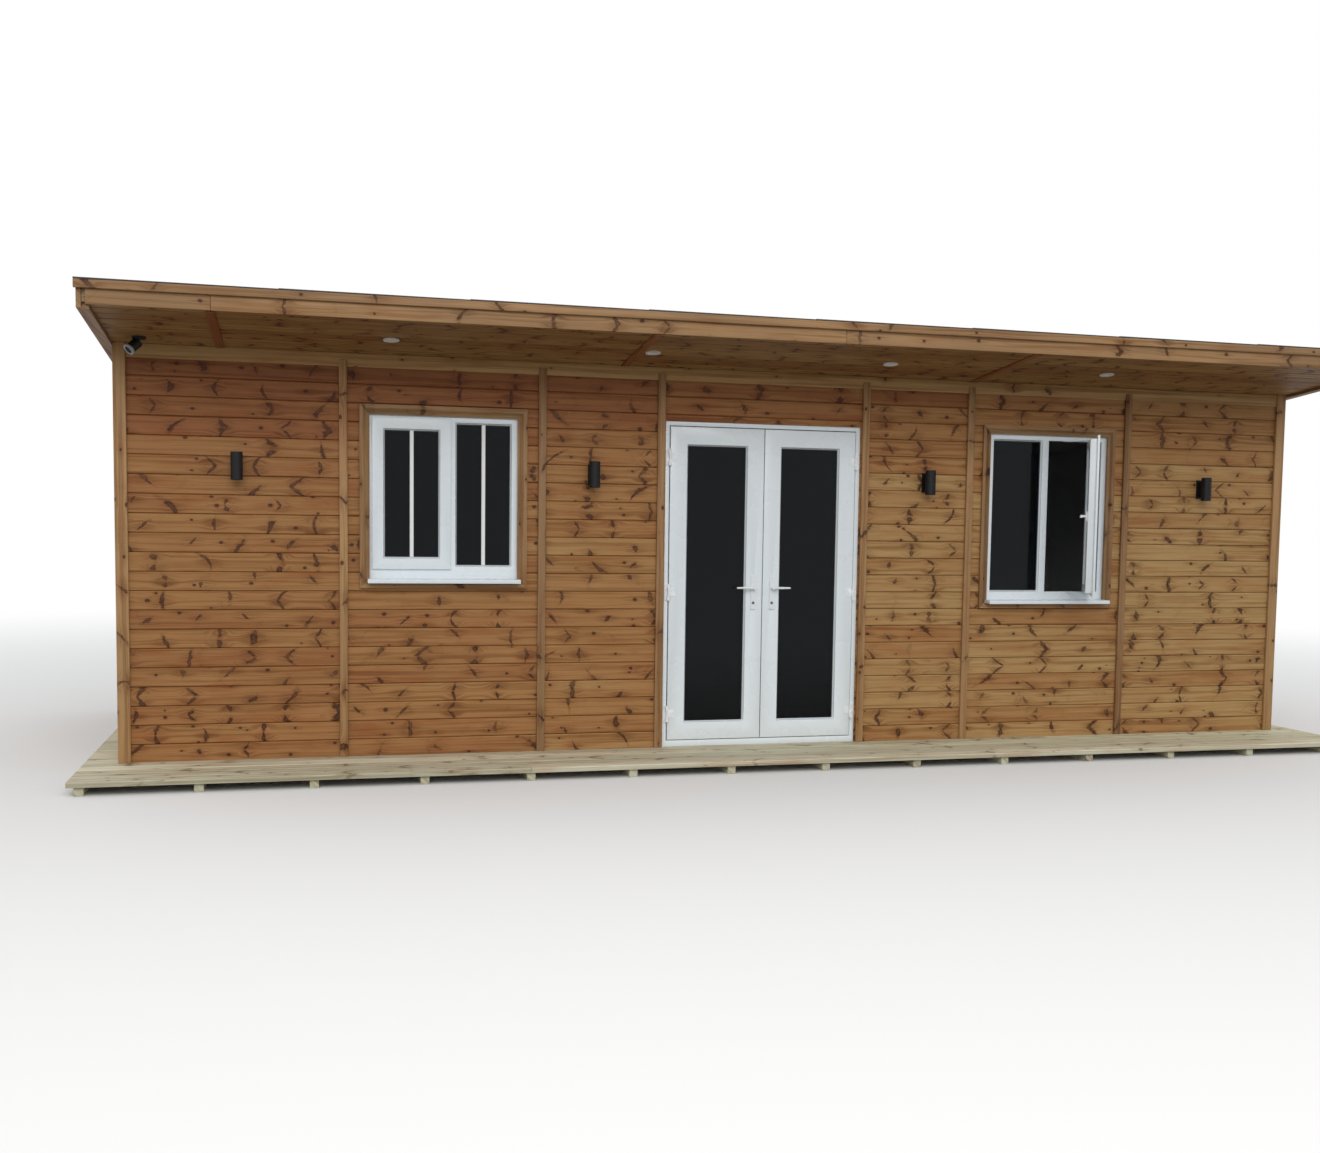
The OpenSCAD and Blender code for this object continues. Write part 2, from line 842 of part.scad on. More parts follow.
// Places of a window's parts, for the window on the right
frame_x0 = window_x - window_open_x;
frame_x1 = window_x + window_open_x;
fixed_x0 = frame_x0 + window_face;
casement_x1 = frame_x1 - window_face;
sash_x1 = casement_x1 + sash_lap;
function sash_x0(w) = casement_x0(w) - sash_lap;
function sash_z0(w) = light_z0(w) - sash_lap;
function sash_z1(w) = light_z1(w) + sash_lap;

// Frame: a beaded fixed light beside the mullion, and a clear opening for the sash
module window_frame(w) {
    difference() {
        box(frame_x0, frame_x1, window_y, window_back_y, sill_z(w) - surround_lap, frame_z1(w));
        box(casement_x0(w), casement_x1, window_y - 1, window_back_y + 1, light_z0(w), light_z1(w));
        tapered_hole(fixed_x0, fixed_x1(w), light_z0(w), light_z1(w),
            window_y + bead_set, window_y + pane_in, window_back_y + 1, bead_w);
        fixed_pane(w);
    }
}

module fixed_pane(w) {
    inset = bead_w - pane_bite;
    box(fixed_x0 + inset, fixed_x1(w) - inset, window_y + pane_in, window_y + pane_in + pane_t,
        light_z0(w) + inset, light_z1(w) - inset);
}

// Opening sash, shut: a flange over the frame and a body in the opening
module sash(w) {
    difference() {
        union() {
            box(sash_x0(w), sash_x1, sash_y, sash_y + sash_flange_t, sash_z0(w), sash_z1(w));
            box(casement_x0(w) + sash_gap, casement_x1 - sash_gap, sash_y, sash_y + sash_t,
                light_z0(w) + sash_gap, light_z1(w) - sash_gap);
        }
        tapered_hole(sash_x0(w) + sash_face - bead_w, sash_x1 - sash_face + bead_w,
            sash_z0(w) + sash_face - bead_w, sash_z1(w) - sash_face + bead_w,
            sash_y + bead_set, sash_y + sash_pane_in, sash_y + sash_t + 1, bead_w);
        sash_pane(w);
    }
}

module sash_pane(w) {
    inset = sash_face - pane_bite;
    box(sash_x0(w) + inset, sash_x1 - inset, sash_y + sash_pane_in, sash_y + sash_pane_in + pane_t,
        sash_z0(w) + inset, sash_z1(w) - inset);
}

// Swings a shut sash open: its hinge edge has slid along the stays towards the mullion
module swung() {
    translate([sash_x1 - sash_slide, sash_y, 0]) rotate([0, 0, sash_open])
        translate([-sash_x1, -sash_y, 0]) children();
}

module on_left() {
    mirror([1, 0, 0]) children();
}

module window_frames() {
    color(white_plastic) {
        window_frame(right_window);
        on_left() window_frame(left_window);
    }
}

module window_sashes() {
    color(white_plastic) {
        swung() sash(right_window);
        on_left() sash(left_window);
    }
}

module window_glass() {
    color(clear_glass) {
        fixed_pane(right_window);
        swung() sash_pane(right_window);
        on_left() {
            fixed_pane(left_window);
            sash_pane(left_window);
        }
    }
}

// Trim round a window: a raised rim that falls to a flat inner part
surround_rim = 22;
surround_fall = 8;
surround_inner_t = 10;
surround_x0 = frame_x0 + surround_lap;
surround_x1 = frame_x1 - surround_lap;

module window_surround(w) {
    z0 = sill_z(w) - surround_w;
    z1 = frame_z1(w) - surround_lap;
    rim = surround_w - surround_rim;
    difference() {
        box(surround_x0 - surround_w, surround_x1 + surround_w, face_y - strip_t, face_y,
            z0, z1 + surround_w);
        tapered_hole(surround_x0 - rim, surround_x1 + rim, z0 + surround_rim, z1 + rim,
            face_y - strip_t, face_y - surround_inner_t - 1, face_y - surround_inner_t, surround_fall);
        box(surround_x0, surround_x1, face_y - strip_t - 1, face_y + 1, sill_z(w) - sill_t, z1);
    }
}

module window_surrounds() {
    color(oak_stain) {
        window_surround(right_window);
        on_left() window_surround(left_window);
    }
}

// Sill: a body that falls to the front, and a nose with a drip and horns in front of the trim
sill_t = 24;
sill_fall = 3;
sill_drip = 3;
nose_t = 10;
horn = 13;

module window_sill(w) {
    z = sill_z(w);
    foot_z = z - sill_t;
    nose_y = face_y - strip_t - sill_out;
    trim_y = face_y - surround_inner_t;
    difference() {
        along_x(surround_x0 - horn, surround_x1 + horn) polygon([
            [window_y, z], [nose_y, z - sill_fall], [nose_y, foot_z - sill_drip],
            [nose_y + nose_t, foot_z - sill_drip], [nose_y + nose_t, foot_z], [face_y, foot_z],
            [face_y, z - surround_lap], [window_y, z - surround_lap]]);
        box(surround_x0 - horn - 1, surround_x0, trim_y, window_y + 1, foot_z - 1, z + 1);
        box(surround_x1, surround_x1 + horn + 1, trim_y, window_y + 1, foot_z - 1, z + 1);
    }
}

module window_sills() {
    color(white_plastic) {
        window_sill(right_window);
        on_left() window_sill(left_window);
    }
}

// Stays of the open sash, at its foot and its head: a track on the frame, and two links to the sash,
// each given by its place on the track from the jamb and its place on the sash from the hinge edge
track_t = 2;
track_w = 18;
track_l = 300;
track_in = 4;
stay_w = 12;
stay_sash_in = 45;
stay_links = [[50, 30], [244, 180]];

module stay_link(link, z, up) {
    ax = casement_x1 - link[0];
    ay = window_y + track_in + track_w / 2;
    bx = sash_x1 - sash_slide - link[1] * cos(sash_open) - stay_sash_in * sin(sash_open);
    by = sash_y - link[1] * sin(sash_open) + stay_sash_in * cos(sash_open);
    link_z = z + up * track_t / 2;
    sash_foot_z = z + up * (sash_gap - seat_gap);
    translate([ax, ay, min(link_z, sash_foot_z)]) rotate([0, 0, atan2(by - ay, bx - ax)])
        box(-stay_w / 2, norm([bx - ax, by - ay]) + stay_w / 2, -stay_w / 2, stay_w / 2,
            0, abs(sash_foot_z - link_z));
}

module stay(z, up) {
    box(casement_x1 - track_l, casement_x1 - track_in, window_y + track_in, window_y + track_in + track_w,
        min(z, z + up * track_t), max(z, z + up * track_t));
    for (link = stay_links) stay_link(link, z, up);
}

module window_stays() {
    color(steel_grey) {
        stay(light_z0(right_window), 1);
        stay(light_z1(right_window), -1);
    }
}

window_handle_w = 26;
window_handle_h = 64;
window_handle_t = 10;
window_neck_r = 8;
window_neck_l = 34;
grip_w = 18;
grip_t = 12;
grip_l = 115;

// Inside handle on the free stile of a sash: its grip hangs down, or is turned about the neck
module window_handle(w, turn) {
    x = (casement_x0(w) + sash_gap + sash_x0(w) + sash_face) / 2;
    translate([x, sash_y + sash_t, (light_z0(w) + light_z1(w)) / 2]) {
        box(-window_handle_w / 2, window_handle_w / 2, 0, window_handle_t,
            -window_handle_h / 2, window_handle_h / 2);
        rotate([-90, 0, 0]) cylinder(r = window_neck_r, h = window_neck_l + 1);
        rotate([0, turn, 0])
            box(-grip_w / 2, grip_w / 2, window_neck_l, window_neck_l + grip_t, -grip_l, grip_w / 2);
    }
}

module window_handles() {
    color(white_plastic) {
        swung() window_handle(right_window, -90);
        on_left() window_handle(left_window, 0);
    }
}

base_joists();
decking();
floor_panel();  // floor
front_wall_left();
front_wall_over_door();
front_wall_right();
left_wall();
right_wall();
back_wall();
front_cladding();
left_cladding();
right_cladding();
back_cladding();
wall_lining();
ceiling_lining();
roof_panel();
roof_covering();
soffit_boards();
soffit_cover_strips();
front_fascia();
front_roof_trim();
bargeboards();
back_fascia();
eaves_bands();
corner_trims();
cover_strips();
downlights();
wall_lights();
security_camera();
door_frame();
door_frame_hinges();
left_door_leaf();
left_door_glass();
left_door_hinges();
left_door_plates();
left_door_lever();
right_door_leaf();
right_door_glass();
right_door_hinges();
right_door_plates();
right_door_lever();
window_surrounds();
window_frames();
window_sills();
window_sashes();
window_glass();
window_handles();
window_stays();
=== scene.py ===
"""Looks of a timber garden office on a decked base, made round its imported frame."""

import json
import math

import bmesh
import bpy
import numpy as np
from bpy.props import FloatProperty, FloatVectorProperty, IntProperty, PointerProperty
from mathutils import Matrix, Vector

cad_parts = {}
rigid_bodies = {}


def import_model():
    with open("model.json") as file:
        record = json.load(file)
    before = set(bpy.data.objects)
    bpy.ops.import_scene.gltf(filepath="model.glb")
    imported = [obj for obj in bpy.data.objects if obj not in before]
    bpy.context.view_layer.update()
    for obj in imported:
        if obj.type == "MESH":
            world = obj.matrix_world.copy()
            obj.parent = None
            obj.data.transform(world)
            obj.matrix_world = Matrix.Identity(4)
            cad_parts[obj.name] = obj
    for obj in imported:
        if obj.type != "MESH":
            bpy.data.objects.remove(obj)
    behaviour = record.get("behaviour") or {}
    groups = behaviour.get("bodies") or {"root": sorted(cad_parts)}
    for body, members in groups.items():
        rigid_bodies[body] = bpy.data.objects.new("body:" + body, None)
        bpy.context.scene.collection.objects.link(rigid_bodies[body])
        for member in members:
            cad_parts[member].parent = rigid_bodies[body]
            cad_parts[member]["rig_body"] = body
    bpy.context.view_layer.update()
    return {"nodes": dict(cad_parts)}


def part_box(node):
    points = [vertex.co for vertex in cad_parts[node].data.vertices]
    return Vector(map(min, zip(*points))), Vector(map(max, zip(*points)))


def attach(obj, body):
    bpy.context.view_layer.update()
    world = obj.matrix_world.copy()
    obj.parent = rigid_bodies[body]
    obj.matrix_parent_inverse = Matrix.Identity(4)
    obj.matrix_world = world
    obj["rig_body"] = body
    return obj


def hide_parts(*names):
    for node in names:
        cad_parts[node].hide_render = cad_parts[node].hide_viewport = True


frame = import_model()

bl_info = {
    "name": "Garden Office",
    "version": (1, 0, 0),
    "blender": (4, 5, 0),
    "location": "3D View > Sidebar > Garden Office",
    "description": "Boards, finishes, glazing and stage of a timber garden office",
    "category": "Object",
}

SEED = 11
# What a salt is raised by for the tones of solids and of courses
TONE_SALT = 40
ROW_SALT = 50

MILLIMETRE = 0.001
# Half the gap of a mitre and of a butt joint, the length of a felt lap's step, and the gap between two bays
MITRE_GAP = 0.3 * MILLIMETRE
BUTT_GAP = 0.6 * MILLIMETRE
LAP_STEP = 2 * MILLIMETRE
BAY_GAP = 4 * MILLIMETRE
# How near to a wall's face the middles of its strips lie, and the margin on both sides of a ring of boards
STRIP_REACH = 30 * MILLIMETRE
RING_MARGIN = 10 * MILLIMETRE
# A length taken as none, and one that reaches past the whole building
TINY = 1e-9
FAR = 100.0
UP = np.array([0.0, 0.0, 1.0])
# Share of a glass seal's width at which its slope starts
SEAL_TOP = 0.7
# Least turn between two faces whose edge is rounded and shaded as sharp
SHARP_ANGLE = math.radians(30.0)

# Width of the camera's film, in millimetres
SENSOR = 36.0
# Least course, as a share of the cover, that a joint may leave beside an edge
LEAST_COURSE = 0.2
# Least width of the last decking board, as a share of the others
LEAST_PLANK = 0.3
# What the topmost board's tone is lowered by as painted shade under the eaves: this much, less this share of
# the bay's tone
PAINTED_SHADE_DROP = (1.0, 0.6)
# Height of the soffit's first joint from its front edge
SOFFIT_JOINT = 0.05
# Joist, counted from the middle one, at which each row of decking is jointed
DECK_JOINTS = (-3, 2, 4, -1, 3, -4)
# Length of board for each whorl of knots, and size of the grid cells of small knots, in metres
WHORL_CELL = 0.30
PIN_CELL = (0.30, 0.070)
# Radius of the smallest small knot and what the largest has more, and the same for a long knot's halves
PIN_RADIUS = (0.0035, 0.006)
KNOT_LENGTH = (0.015, 0.032)
KNOT_WIDTH = (0.0078, 0.0100)
# How tightly broad streaks, fine streaks and rings lie across a board
BROAD, FINE, RINGS = 55.0, 420.0, 620.0
# Share of the whorls that are mirrored pairs, and the most that a knot leans and curves
PAIRED_SHARE = 0.42
MOST_LEAN = 1.2
MOST_CURVE = 12.0
# Tones between which a board turns from each stain to the next lighter one, lightest first
TONE_STEPS = ((0.5, 1.0), (0.0, 0.5), (-0.6, 0.0))
# What multiplies the stain where it is redder, in dark grain and round knots, and as a painted highlight on
# an arris
REDDER = (0.86, 0.66, 0.56)
DARKER = (0.58, 0.48, 0.40)
ROUND_KNOTS = (0.46, 0.32, 0.27)
PAINTED_ARRIS_HIGHLIGHT = (1.30, 1.34, 1.42)
WHITE_METAL = (0.84, 0.86, 0.88)
# Where the camera's ring starts along its barrel and out from its axis, each from nothing to full
RING_START = (0.0405, 0.0412)
RING_INSIDE = (0.0218, 0.0224)


# Sizes and colours


def number(name, description, default, **limits):
    """A number."""
    return FloatProperty(name=name, description=description, default=default, **limits)


def length(name, description, default):
    """A length that shows in the scene's units."""
    return number(name, description, default, min=0.0, unit="LENGTH")


def numbers(name, description, default, **limits):
    """A row of numbers."""
    return FloatVectorProperty(
        name=name, description=description, default=default, size=len(default), **limits
    )


def colour(name, description, default):
    """A colour in linear red, green and blue."""
    return numbers(name, description, default, subtype="COLOR", min=0.0, max=1.0)


class CladdingSettings(bpy.types.PropertyGroup):
    """Boards of the walls and of the soffit."""

    cover: length("Cover", "Height that each board covers", 0.1127)
    first_joint: length("First joint", "Height of the lowest joint above the decking", 0.102)
    groove_w: length("Groove width", "Width of the V joint between two boards", 0.013)
    groove_d: length("Groove depth", "Depth of the V joint between two boards", 0.006)
    slit: length("Slit", "Gap at the bottom of the V joint", 0.0016)
    play: length("Play", "Largest random stand-out of a board", 0.0008)
    golden: colour("Golden", "Lightest stain", (0.50, 0.315, 0.132))
    brown: colour("Brown", "Middle stain", (0.425, 0.215, 0.080))
    russet: colour("Russet", "Reddest stain", (0.345, 0.138, 0.050))
    # Darkest stain of the random tones, and painted shade of the eaves on the top boards
    darkest_and_eaves_shade: colour("Sheltered", "Stain under the eaves", (0.255, 0.088, 0.034))
    soffit: colour("Soffit", "Stain of the soffit's boards", (0.375, 0.215, 0.080))
    soffit_dark: colour("Dark soffit", "Darkest stain of the soffit's boards", (0.280, 0.140, 0.050))
    # Painted shade: height below the soffit over which the boards are darkened
    painted_shade_height: length("Shelter", "Height under the soffit over which the boards are darker", 0.75)
    left_tone: number("Left tone", "Mean tone of the boards at the left end", 0.30)
    right_tone: number("Right tone", "Mean tone at the right end", 0.90)
    knot: colour("Knots", "Colour of the knots", (0.040, 0.012, 0.006))


class TrimSettings(bpy.types.PropertyGroup):
    """Strips, bands, fascias and surrounds."""

    arris: length("Arris", "Rounding of the edges", 0.0025)
    fascia_joints: numbers(
        "Fascia joints", "Places of the fascia's butt joints", (-3.35, 0.20), unit="LENGTH"
    )
    light: colour("Light", "Lightest stain", (0.52, 0.310, 0.143))
    middle: colour("Middle", "Middle stain", (0.34, 0.198, 0.097))
    dark: colour("Dark", "Darkest stain", (0.23, 0.128, 0.060))


class DeckSettings(bpy.types.PropertyGroup):
    """Decking boards and joists."""

    count: IntProperty(
        name="Front boards", description="Boards between the front edge and the wall", default=5, min=1
    )
    gap: length("Gap", "Gap between two boards", 0.005)
    arris: length("Arris", "Rounding of a board's edges", 0.004)
    light: colour("Light", "Lightest timber", (0.86, 0.81, 0.62))
    green: colour("Green", "Greenest timber", (0.74, 0.73, 0.53))
    dull: colour("Dull", "Darkest timber", (0.64, 0.60, 0.45))


class RoofSettings(bpy.types.PropertyGroup):
    """Felt on the roof."""

    sheet_w: length("Sheet width", "Width of a felt sheet", 1.0)
    lap: length("Lap", "Height of a lap between two sheets", 0.003)
    felt: colour("Felt", "Colour of the mineral felt", (0.060, 0.064, 0.070))


class FittingSettings(bpy.types.PropertyGroup):
    """Frames, glass and metalwork."""

    arris: length("Arris", "Rounding of the white frames' edges", 0.003)
    bar_w: length("Bar width", "Width of a glazing bar", 0.023)
    bar_t: length("Bar thickness", "Stand-out of a glazing bar from the glass", 0.008)
    bite: length("Bite", "Depth of the glass in its frame", 0.010)
    seal_w: length("Seal width", "Width of the glass seals that shows", 0.004)
    seal_t: length("Seal thickness", "Stand-out of the seals from the glass", 0.0015)
    lock_z: length("Lock height", "Height of the lock barrels", 1.010)
    lock_r: length("Lock radius", "Radius of a lock barrel", 0.0085)
    camera_x: number("Camera across", "Camera's place across", -3.80, unit="LENGTH")
    camera_y: number("Camera depth", "Camera's place in depth", -1.29, unit="LENGTH")
    camera_drop: length("Camera drop", "Depth of the camera's pivot below the soffit", 0.043)
    camera_pan: number("Camera pan", "Turn of the camera, in degrees", -52.0)
    camera_tilt: number("Camera tilt", "Dip of the camera, in degrees", 41.0)
    plastic: colour("Plastic", "Colour of the white frames", (0.83, 0.88, 0.91))
    # The glass's dark tint is partly painted shade: it stands for the dim room behind the glass
    glass: colour("Glass", "Tint of the glass", (0.09, 0.135, 0.185))
    black: colour("Black", "Colour of the lights and the camera", (0.006, 0.006, 0.007))


class StageSettings(bpy.types.PropertyGroup):
    """Camera, lights and floor."""

    lens: number("Lens", "Focal length in millimetres", 36.47, min=1.0)
    shift: numbers("Shift", "Shift of the picture, right and up", (-0.00095, 0.037))
    place: numbers("Camera", "Place of the camera", (-2.862, -9.392, 1.467), unit="LENGTH")
    yaw: number("Yaw", "Turn to the right, in degrees", 14.79)
    pitch: number("Pitch", "Tilt upward, in degrees", -4.02)
    roll: number("Roll", "Roll of the picture, in degrees", -0.77)
    sky: number("Sky", "Strength of the even light", 0.80, min=0.0)
    key: number("Key", "Power of the soft lamp in watts", 610.0, min=0.0)
    key_place: numbers("Lamp", "Place of the soft lamp", (-2.5, -13.0, 7.9), unit="LENGTH")
    key_size: numbers("Lamp size", "Width and height of the lamp", (10.0, 6.0), unit="LENGTH")
    key_aim: length("Lamp aim", "Height on the front wall at which the lamp aims", 1.2)
    sky_tint: colour("Sky tint", "Colour of the even light", (0.94, 0.98, 1.0))
    floor: colour("Floor", "Colour of the floor to the eye", (0.93, 0.905, 0.89))
    floor_reach: length("Floor reach", "Distance from the middle of the floor to its edges", 90.0)
    fade_start: length("Fade start", "Distance at which the floor starts to fade", 5.5)
    fade_end: length("Fade end", "Distance at which the floor is as white as the backdrop", 17.0)
    bounce: colour("Bounce", "Colour of the floor to bounced light", (0.30, 0.30, 0.29))


SETTINGS = {
    "cladding": CladdingSettings,
    "trim": TrimSettings,
    "deck": DeckSettings,
    "roof": RoofSettings,
    "fitting": FittingSettings,
    "stage": StageSettings,
}


# What the frame says


def read(items, key, width, kind=np.float32):
    """A property of a mesh's items, as an array with one row for each item."""
    found = np.zeros(len(items) * width, kind)
    items.foreach_get(key, found)
    return found.reshape(-1, width)


def mesh_edges(mesh):
    """The mesh's edges as pairs of point numbers."""
    return read(mesh.edges, "vertices", 2, np.int32)


def points_of(node):
    """The corners of a frame node's mesh, one row each."""
    return read(NODES[node].data.vertices, "co", 3).astype(float)


def islands(points, edges):
    """A number for each point: its connected island, by passing the lowest number along every edge."""
    label = np.arange(len(points))
    while True:
        low = np.minimum(label[edges[:, 0]], label[edges[:, 1]])
        new = label.copy()
        np.minimum.at(new, edges[:, 0], low)
        np.minimum.at(new, edges[:, 1], low)
        new = new[new]
        if np.array_equal(new, label):
            return np.unique(label, return_inverse=True)[1]
        label = new


def solid_points(node):
    """The corners of each solid in a node, one array for each solid."""
    merged, same = np.unique(np.round(points_of(node), 5), axis=0, return_inverse=True)
    label = islands(merged, same.ravel()[mesh_edges(NODES[node].data)])
    return [merged[label == k] for k in range(label.max() + 1)]


def solids_of(node):
    """The lowest and highest corner of each solid in a node, as two arrays."""
    solids = solid_points(node)
    low = np.array([points.min(0) for points in solids])
    high = np.array([points.max(0) for points in solids])
    order = np.lexsort((low[:, 2], low[:, 1], low[:, 0]))
    return low[order], high[order]


NODES = frame["nodes"]
DECK_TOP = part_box("decking")[1].z
WALL_LOW, WALL_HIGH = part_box("front_cladding")
FACE_Y = WALL_LOW.y
BACK_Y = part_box("back_cladding")[1].y
SIDE_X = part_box("right_cladding")[1].x


def soffit_line():
    """Height of the soffit's underside at the wall and its rise for each metre towards the front."""
    points = points_of("soffit_boards")
    front = points[points[:, 1] < points[:, 1].min() + MILLIMETRE]
    back = points[points[:, 1] > points[:, 1].max() - MILLIMETRE]
    rise = (front[:, 2].min() - back[:, 2].min()) / (back[0, 1] - front[0, 1])
    return back[:, 2].min(), rise


SOFFIT_Z, SOFFIT_RISE = soffit_line()


def roof_z(y, up=0.0):
    """Height at depth y of the plane that lies up above the soffit's underside."""
    return SOFFIT_Z + (FACE_Y - y) * SOFFIT_RISE + up


# Making pieces


def build_mesh(name, points, rings):
    """A mesh from points and from rings, arrays of faces that each have one number of corners."""
    mesh = bpy.data.meshes.new(name)
    corners = np.concatenate([ring.ravel() for ring in rings]).astype(np.int32)
    totals = np.concatenate([np.full(len(ring), ring.shape[1]) for ring in rings]).astype(np.int32)
    starts = np.concatenate([[0], np.cumsum(totals)[:-1]]).astype(np.int32)
    mesh.vertices.add(len(points))
    mesh.vertices.foreach_set("co", np.asarray(points, np.float32).ravel())
    mesh.loops.add(len(corners))
    mesh.loops.foreach_set("vertex_index", corners)
    mesh.polygons.add(len(totals))
    mesh.polygons.foreach_set("loop_start", starts)
    mesh.update(calc_edges=True)
    mesh.shade_flat()
    return mesh


def shell_of(mesh):
    """An editable copy of a mesh."""
    shell = bmesh.new()
    shell.from_mesh(mesh)
    return shell


def written(shell, mesh):
    """The mesh, once an editable copy is written into it and let go."""
    shell.to_mesh(mesh)
    shell.free()
    return mesh


def reshape(mesh, change, *values):
    """Lets a function, given these values, change a mesh through an editable copy of it."""
    shell = shell_of(mesh)
    change(shell, *values)
    written(shell, mesh)


def lofted(name, points, closed=False):
    """Closed shells, one for each row of points, which holds the shell's rings of points in order.

    Each ring is joined to the next one by quads. The first and last ring are capped or, if closed, joined.
    """
    index = np.arange(points[..., 0].size).reshape(points.shape[:3])
    used = slice(None) if closed else slice(-1)
    first, second = index[:, used], np.roll(index, -1, axis=1)[:, used]
    walls = np.stack([first, np.roll(first, -1, 2), np.roll(second, -1, 2), second], -1)
    caps = [] if closed else [np.concatenate([index[:, 0, ::-1], index[:, -1]])]
    mesh = build_mesh(name, points.reshape(-1, 3), [walls.reshape(-1, 4), *caps])
    reshape(mesh, lambda shell: bmesh.ops.recalc_face_normals(shell, faces=shell.faces))
    return mesh


def store(mesh, name, values):
    """Keeps one number for each point in a named attribute."""
    attribute = mesh.attributes.new(name, "FLOAT", "POINT")
    attribute.data.foreach_set("value", np.asarray(values, np.float32).ravel())


def store_uv(mesh, pairs):
    """Keeps a UV map in metres, given as one pair for each point."""
    corners = read(mesh.loops, "vertex_index", 1, np.int32)[:, 0]
    layer = mesh.uv_layers.new(name="UVMap")
    layer.uv.foreach_set("vector", np.asarray(pairs[corners], np.float32).ravel())


def put(name, data, matrix=None):
    """Puts a mesh, a lamp or a camera into the scene."""
    thing = bpy.data.objects.new(name, data)
    if matrix:
        thing.matrix_world = matrix
    bpy.context.scene.collection.objects.link(thing)
    return thing


def add_piece(mesh, material, body, stands_for=()):
    """Puts a mesh into the scene as a piece that rides on a body."""
    piece = put(mesh.name, mesh)
    mesh.materials.clear()
    mesh.materials.append(material)
    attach(piece, body)
    if stands_for:
        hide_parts(*stands_for)
    return piece


def random_for(count, salt):
    """The same random numbers from 0 to 1 on every run."""
    return np.random.default_rng(SEED + salt).random(count)


def outline(half):
    """A board's outline: the rows of its low edge, from its back to its face, and then their mirror."""
    return [(0, *row) for row in half] + [(1, *row) for row in reversed(half)]


def boards_mesh(name, boards, profile, place, salt, play=0.0):
    """Straight boards: each is a closed outline carried from its start to its end.

    boards has a row for each board: start, end, low edge, high edge, whether each of those two edges
    is plain, seed, tone, and the height that the grain is counted from. profile has a row for each
    outline point: 0 or 1 for the low or high edge, the distance in from that edge, the depth behind the
    face, and its painted light, 1 for painted shade in a joint and -1 for a painted highlight on an arris.
    place turns the arrays of distance along, distance across and depth into points.
    """
    boards = np.asarray(boards, float)
    at_high, inset, depth, shade = np.asarray(profile, float).T
    shape = (len(boards), 2, len(depth))
    at_high = at_high > 0.5
    inset = inset * (1 - np.where(at_high, boards[:, 5:6], boards[:, 4:5]))
    across = np.where(at_high, boards[:, 3:4] - inset, boards[:, 2:3] + inset)
    stand = (random_for(len(boards), salt) * play)[:, None]
    depth = depth + np.where(depth < depth.max() - TINY, stand, 0.0)
    along = np.broadcast_to(boards[:, 0:2, None], shape)
    across = np.broadcast_to(across[:, None], shape)
    depth = np.broadcast_to(depth[:, None], shape)
    mesh = lofted(name, place(along, across, depth))
    store(mesh, "seed", np.repeat(boards[:, 6], 2 * shape[2]))
    store(mesh, "tone", np.repeat(boards[:, 7], 2 * shape[2]))
    store(mesh, "groove", np.broadcast_to(shade, shape))
    store_uv(mesh, np.stack([along, across + depth - boards[:, 8, None, None]], -1).reshape(-1, 2))
    return mesh


def merged_shell(node):
    """A working copy of a frame node with its corners merged and its flat faces joined."""
    shell = shell_of(NODES[node].data)
    bmesh.ops.remove_doubles(shell, verts=shell.verts, dist=0.01 * MILLIMETRE)
    bmesh.ops.dissolve_limit(
        shell, angle_limit=math.radians(0.4), verts=shell.verts, edges=shell.edges, delimit={"NORMAL"}
    )
    return shell


def keep_side(shell, place, normal):
    """Cuts closed shells at a plane, drops what lies beyond it and caps the cuts."""
    parts = [*shell.verts, *shell.edges, *shell.faces]
    cut = bmesh.ops.bisect_plane(
        shell, geom=parts, dist=1e-6, plane_co=place, plane_no=normal, clear_outer=True
    )
    rim = [edge for edge in cut["geom_cut"] if isinstance(edge, bmesh.types.BMEdge)]
    bmesh.ops.holes_fill(shell, edges=rim)


def cut_copies(node, cuts):
    """One shell of several copies of a node, each cut off at its own planes of place and normal."""
    whole = bmesh.new()
    for planes in cuts:
        part = merged_shell(node)
        for place, normal in planes:
            keep_side(part, place, normal)
        mesh = written(part, bpy.data.meshes.new("part"))
        whole.from_mesh(mesh)
        bpy.data.meshes.remove(mesh)
    return whole


def mitred_rings(node):
    """Each ring of a node as four boards that meet at mitres.

    A board lies between the planes through two of the ring's outer corners that halve the angles there,
    each moved in by half the joint's gap, and between upright planes on both sides of its own ring.
    """
    cuts = []
    for low, high in zip(*solids_of(node)):
        ends = [
            (Vector((low[0] - RING_MARGIN, 0, 0)), Vector((-1, 0, 0))),
            (Vector((high[0] + RING_MARGIN, 0, 0)), Vector((1, 0, 0))),
        ]
        corners = [(low[0], low[2]), (high[0], low[2]), (high[0], high[2]), (low[0], high[2])]
        corners = [Vector((x, low[1], z)) for x, z in corners]
        for first, second in zip(corners, corners[1:] + corners[:1]):
            run = (second - first).normalized()
            inward = Vector((-run.z, 0.0, run.x))
            starts = (inward - run).normalized()
            stops = (inward + run).normalized()
            cuts.append([*ends, (first - MITRE_GAP * starts, starts), (second - MITRE_GAP * stops, stops)])
    return cut_copies(node, cuts)


def butted(node, places):
    """A node cut across into boards that butt at places along X, with a hair between them."""
    edges = [-FAR, *places, FAR]
    right = Vector((1, 0, 0))
    return cut_copies(node, [
        [(right * (start + BUTT_GAP), -right), (right * (end - BUTT_GAP), right)]
        for start, end in zip(edges[:-1], edges[1:])
    ])


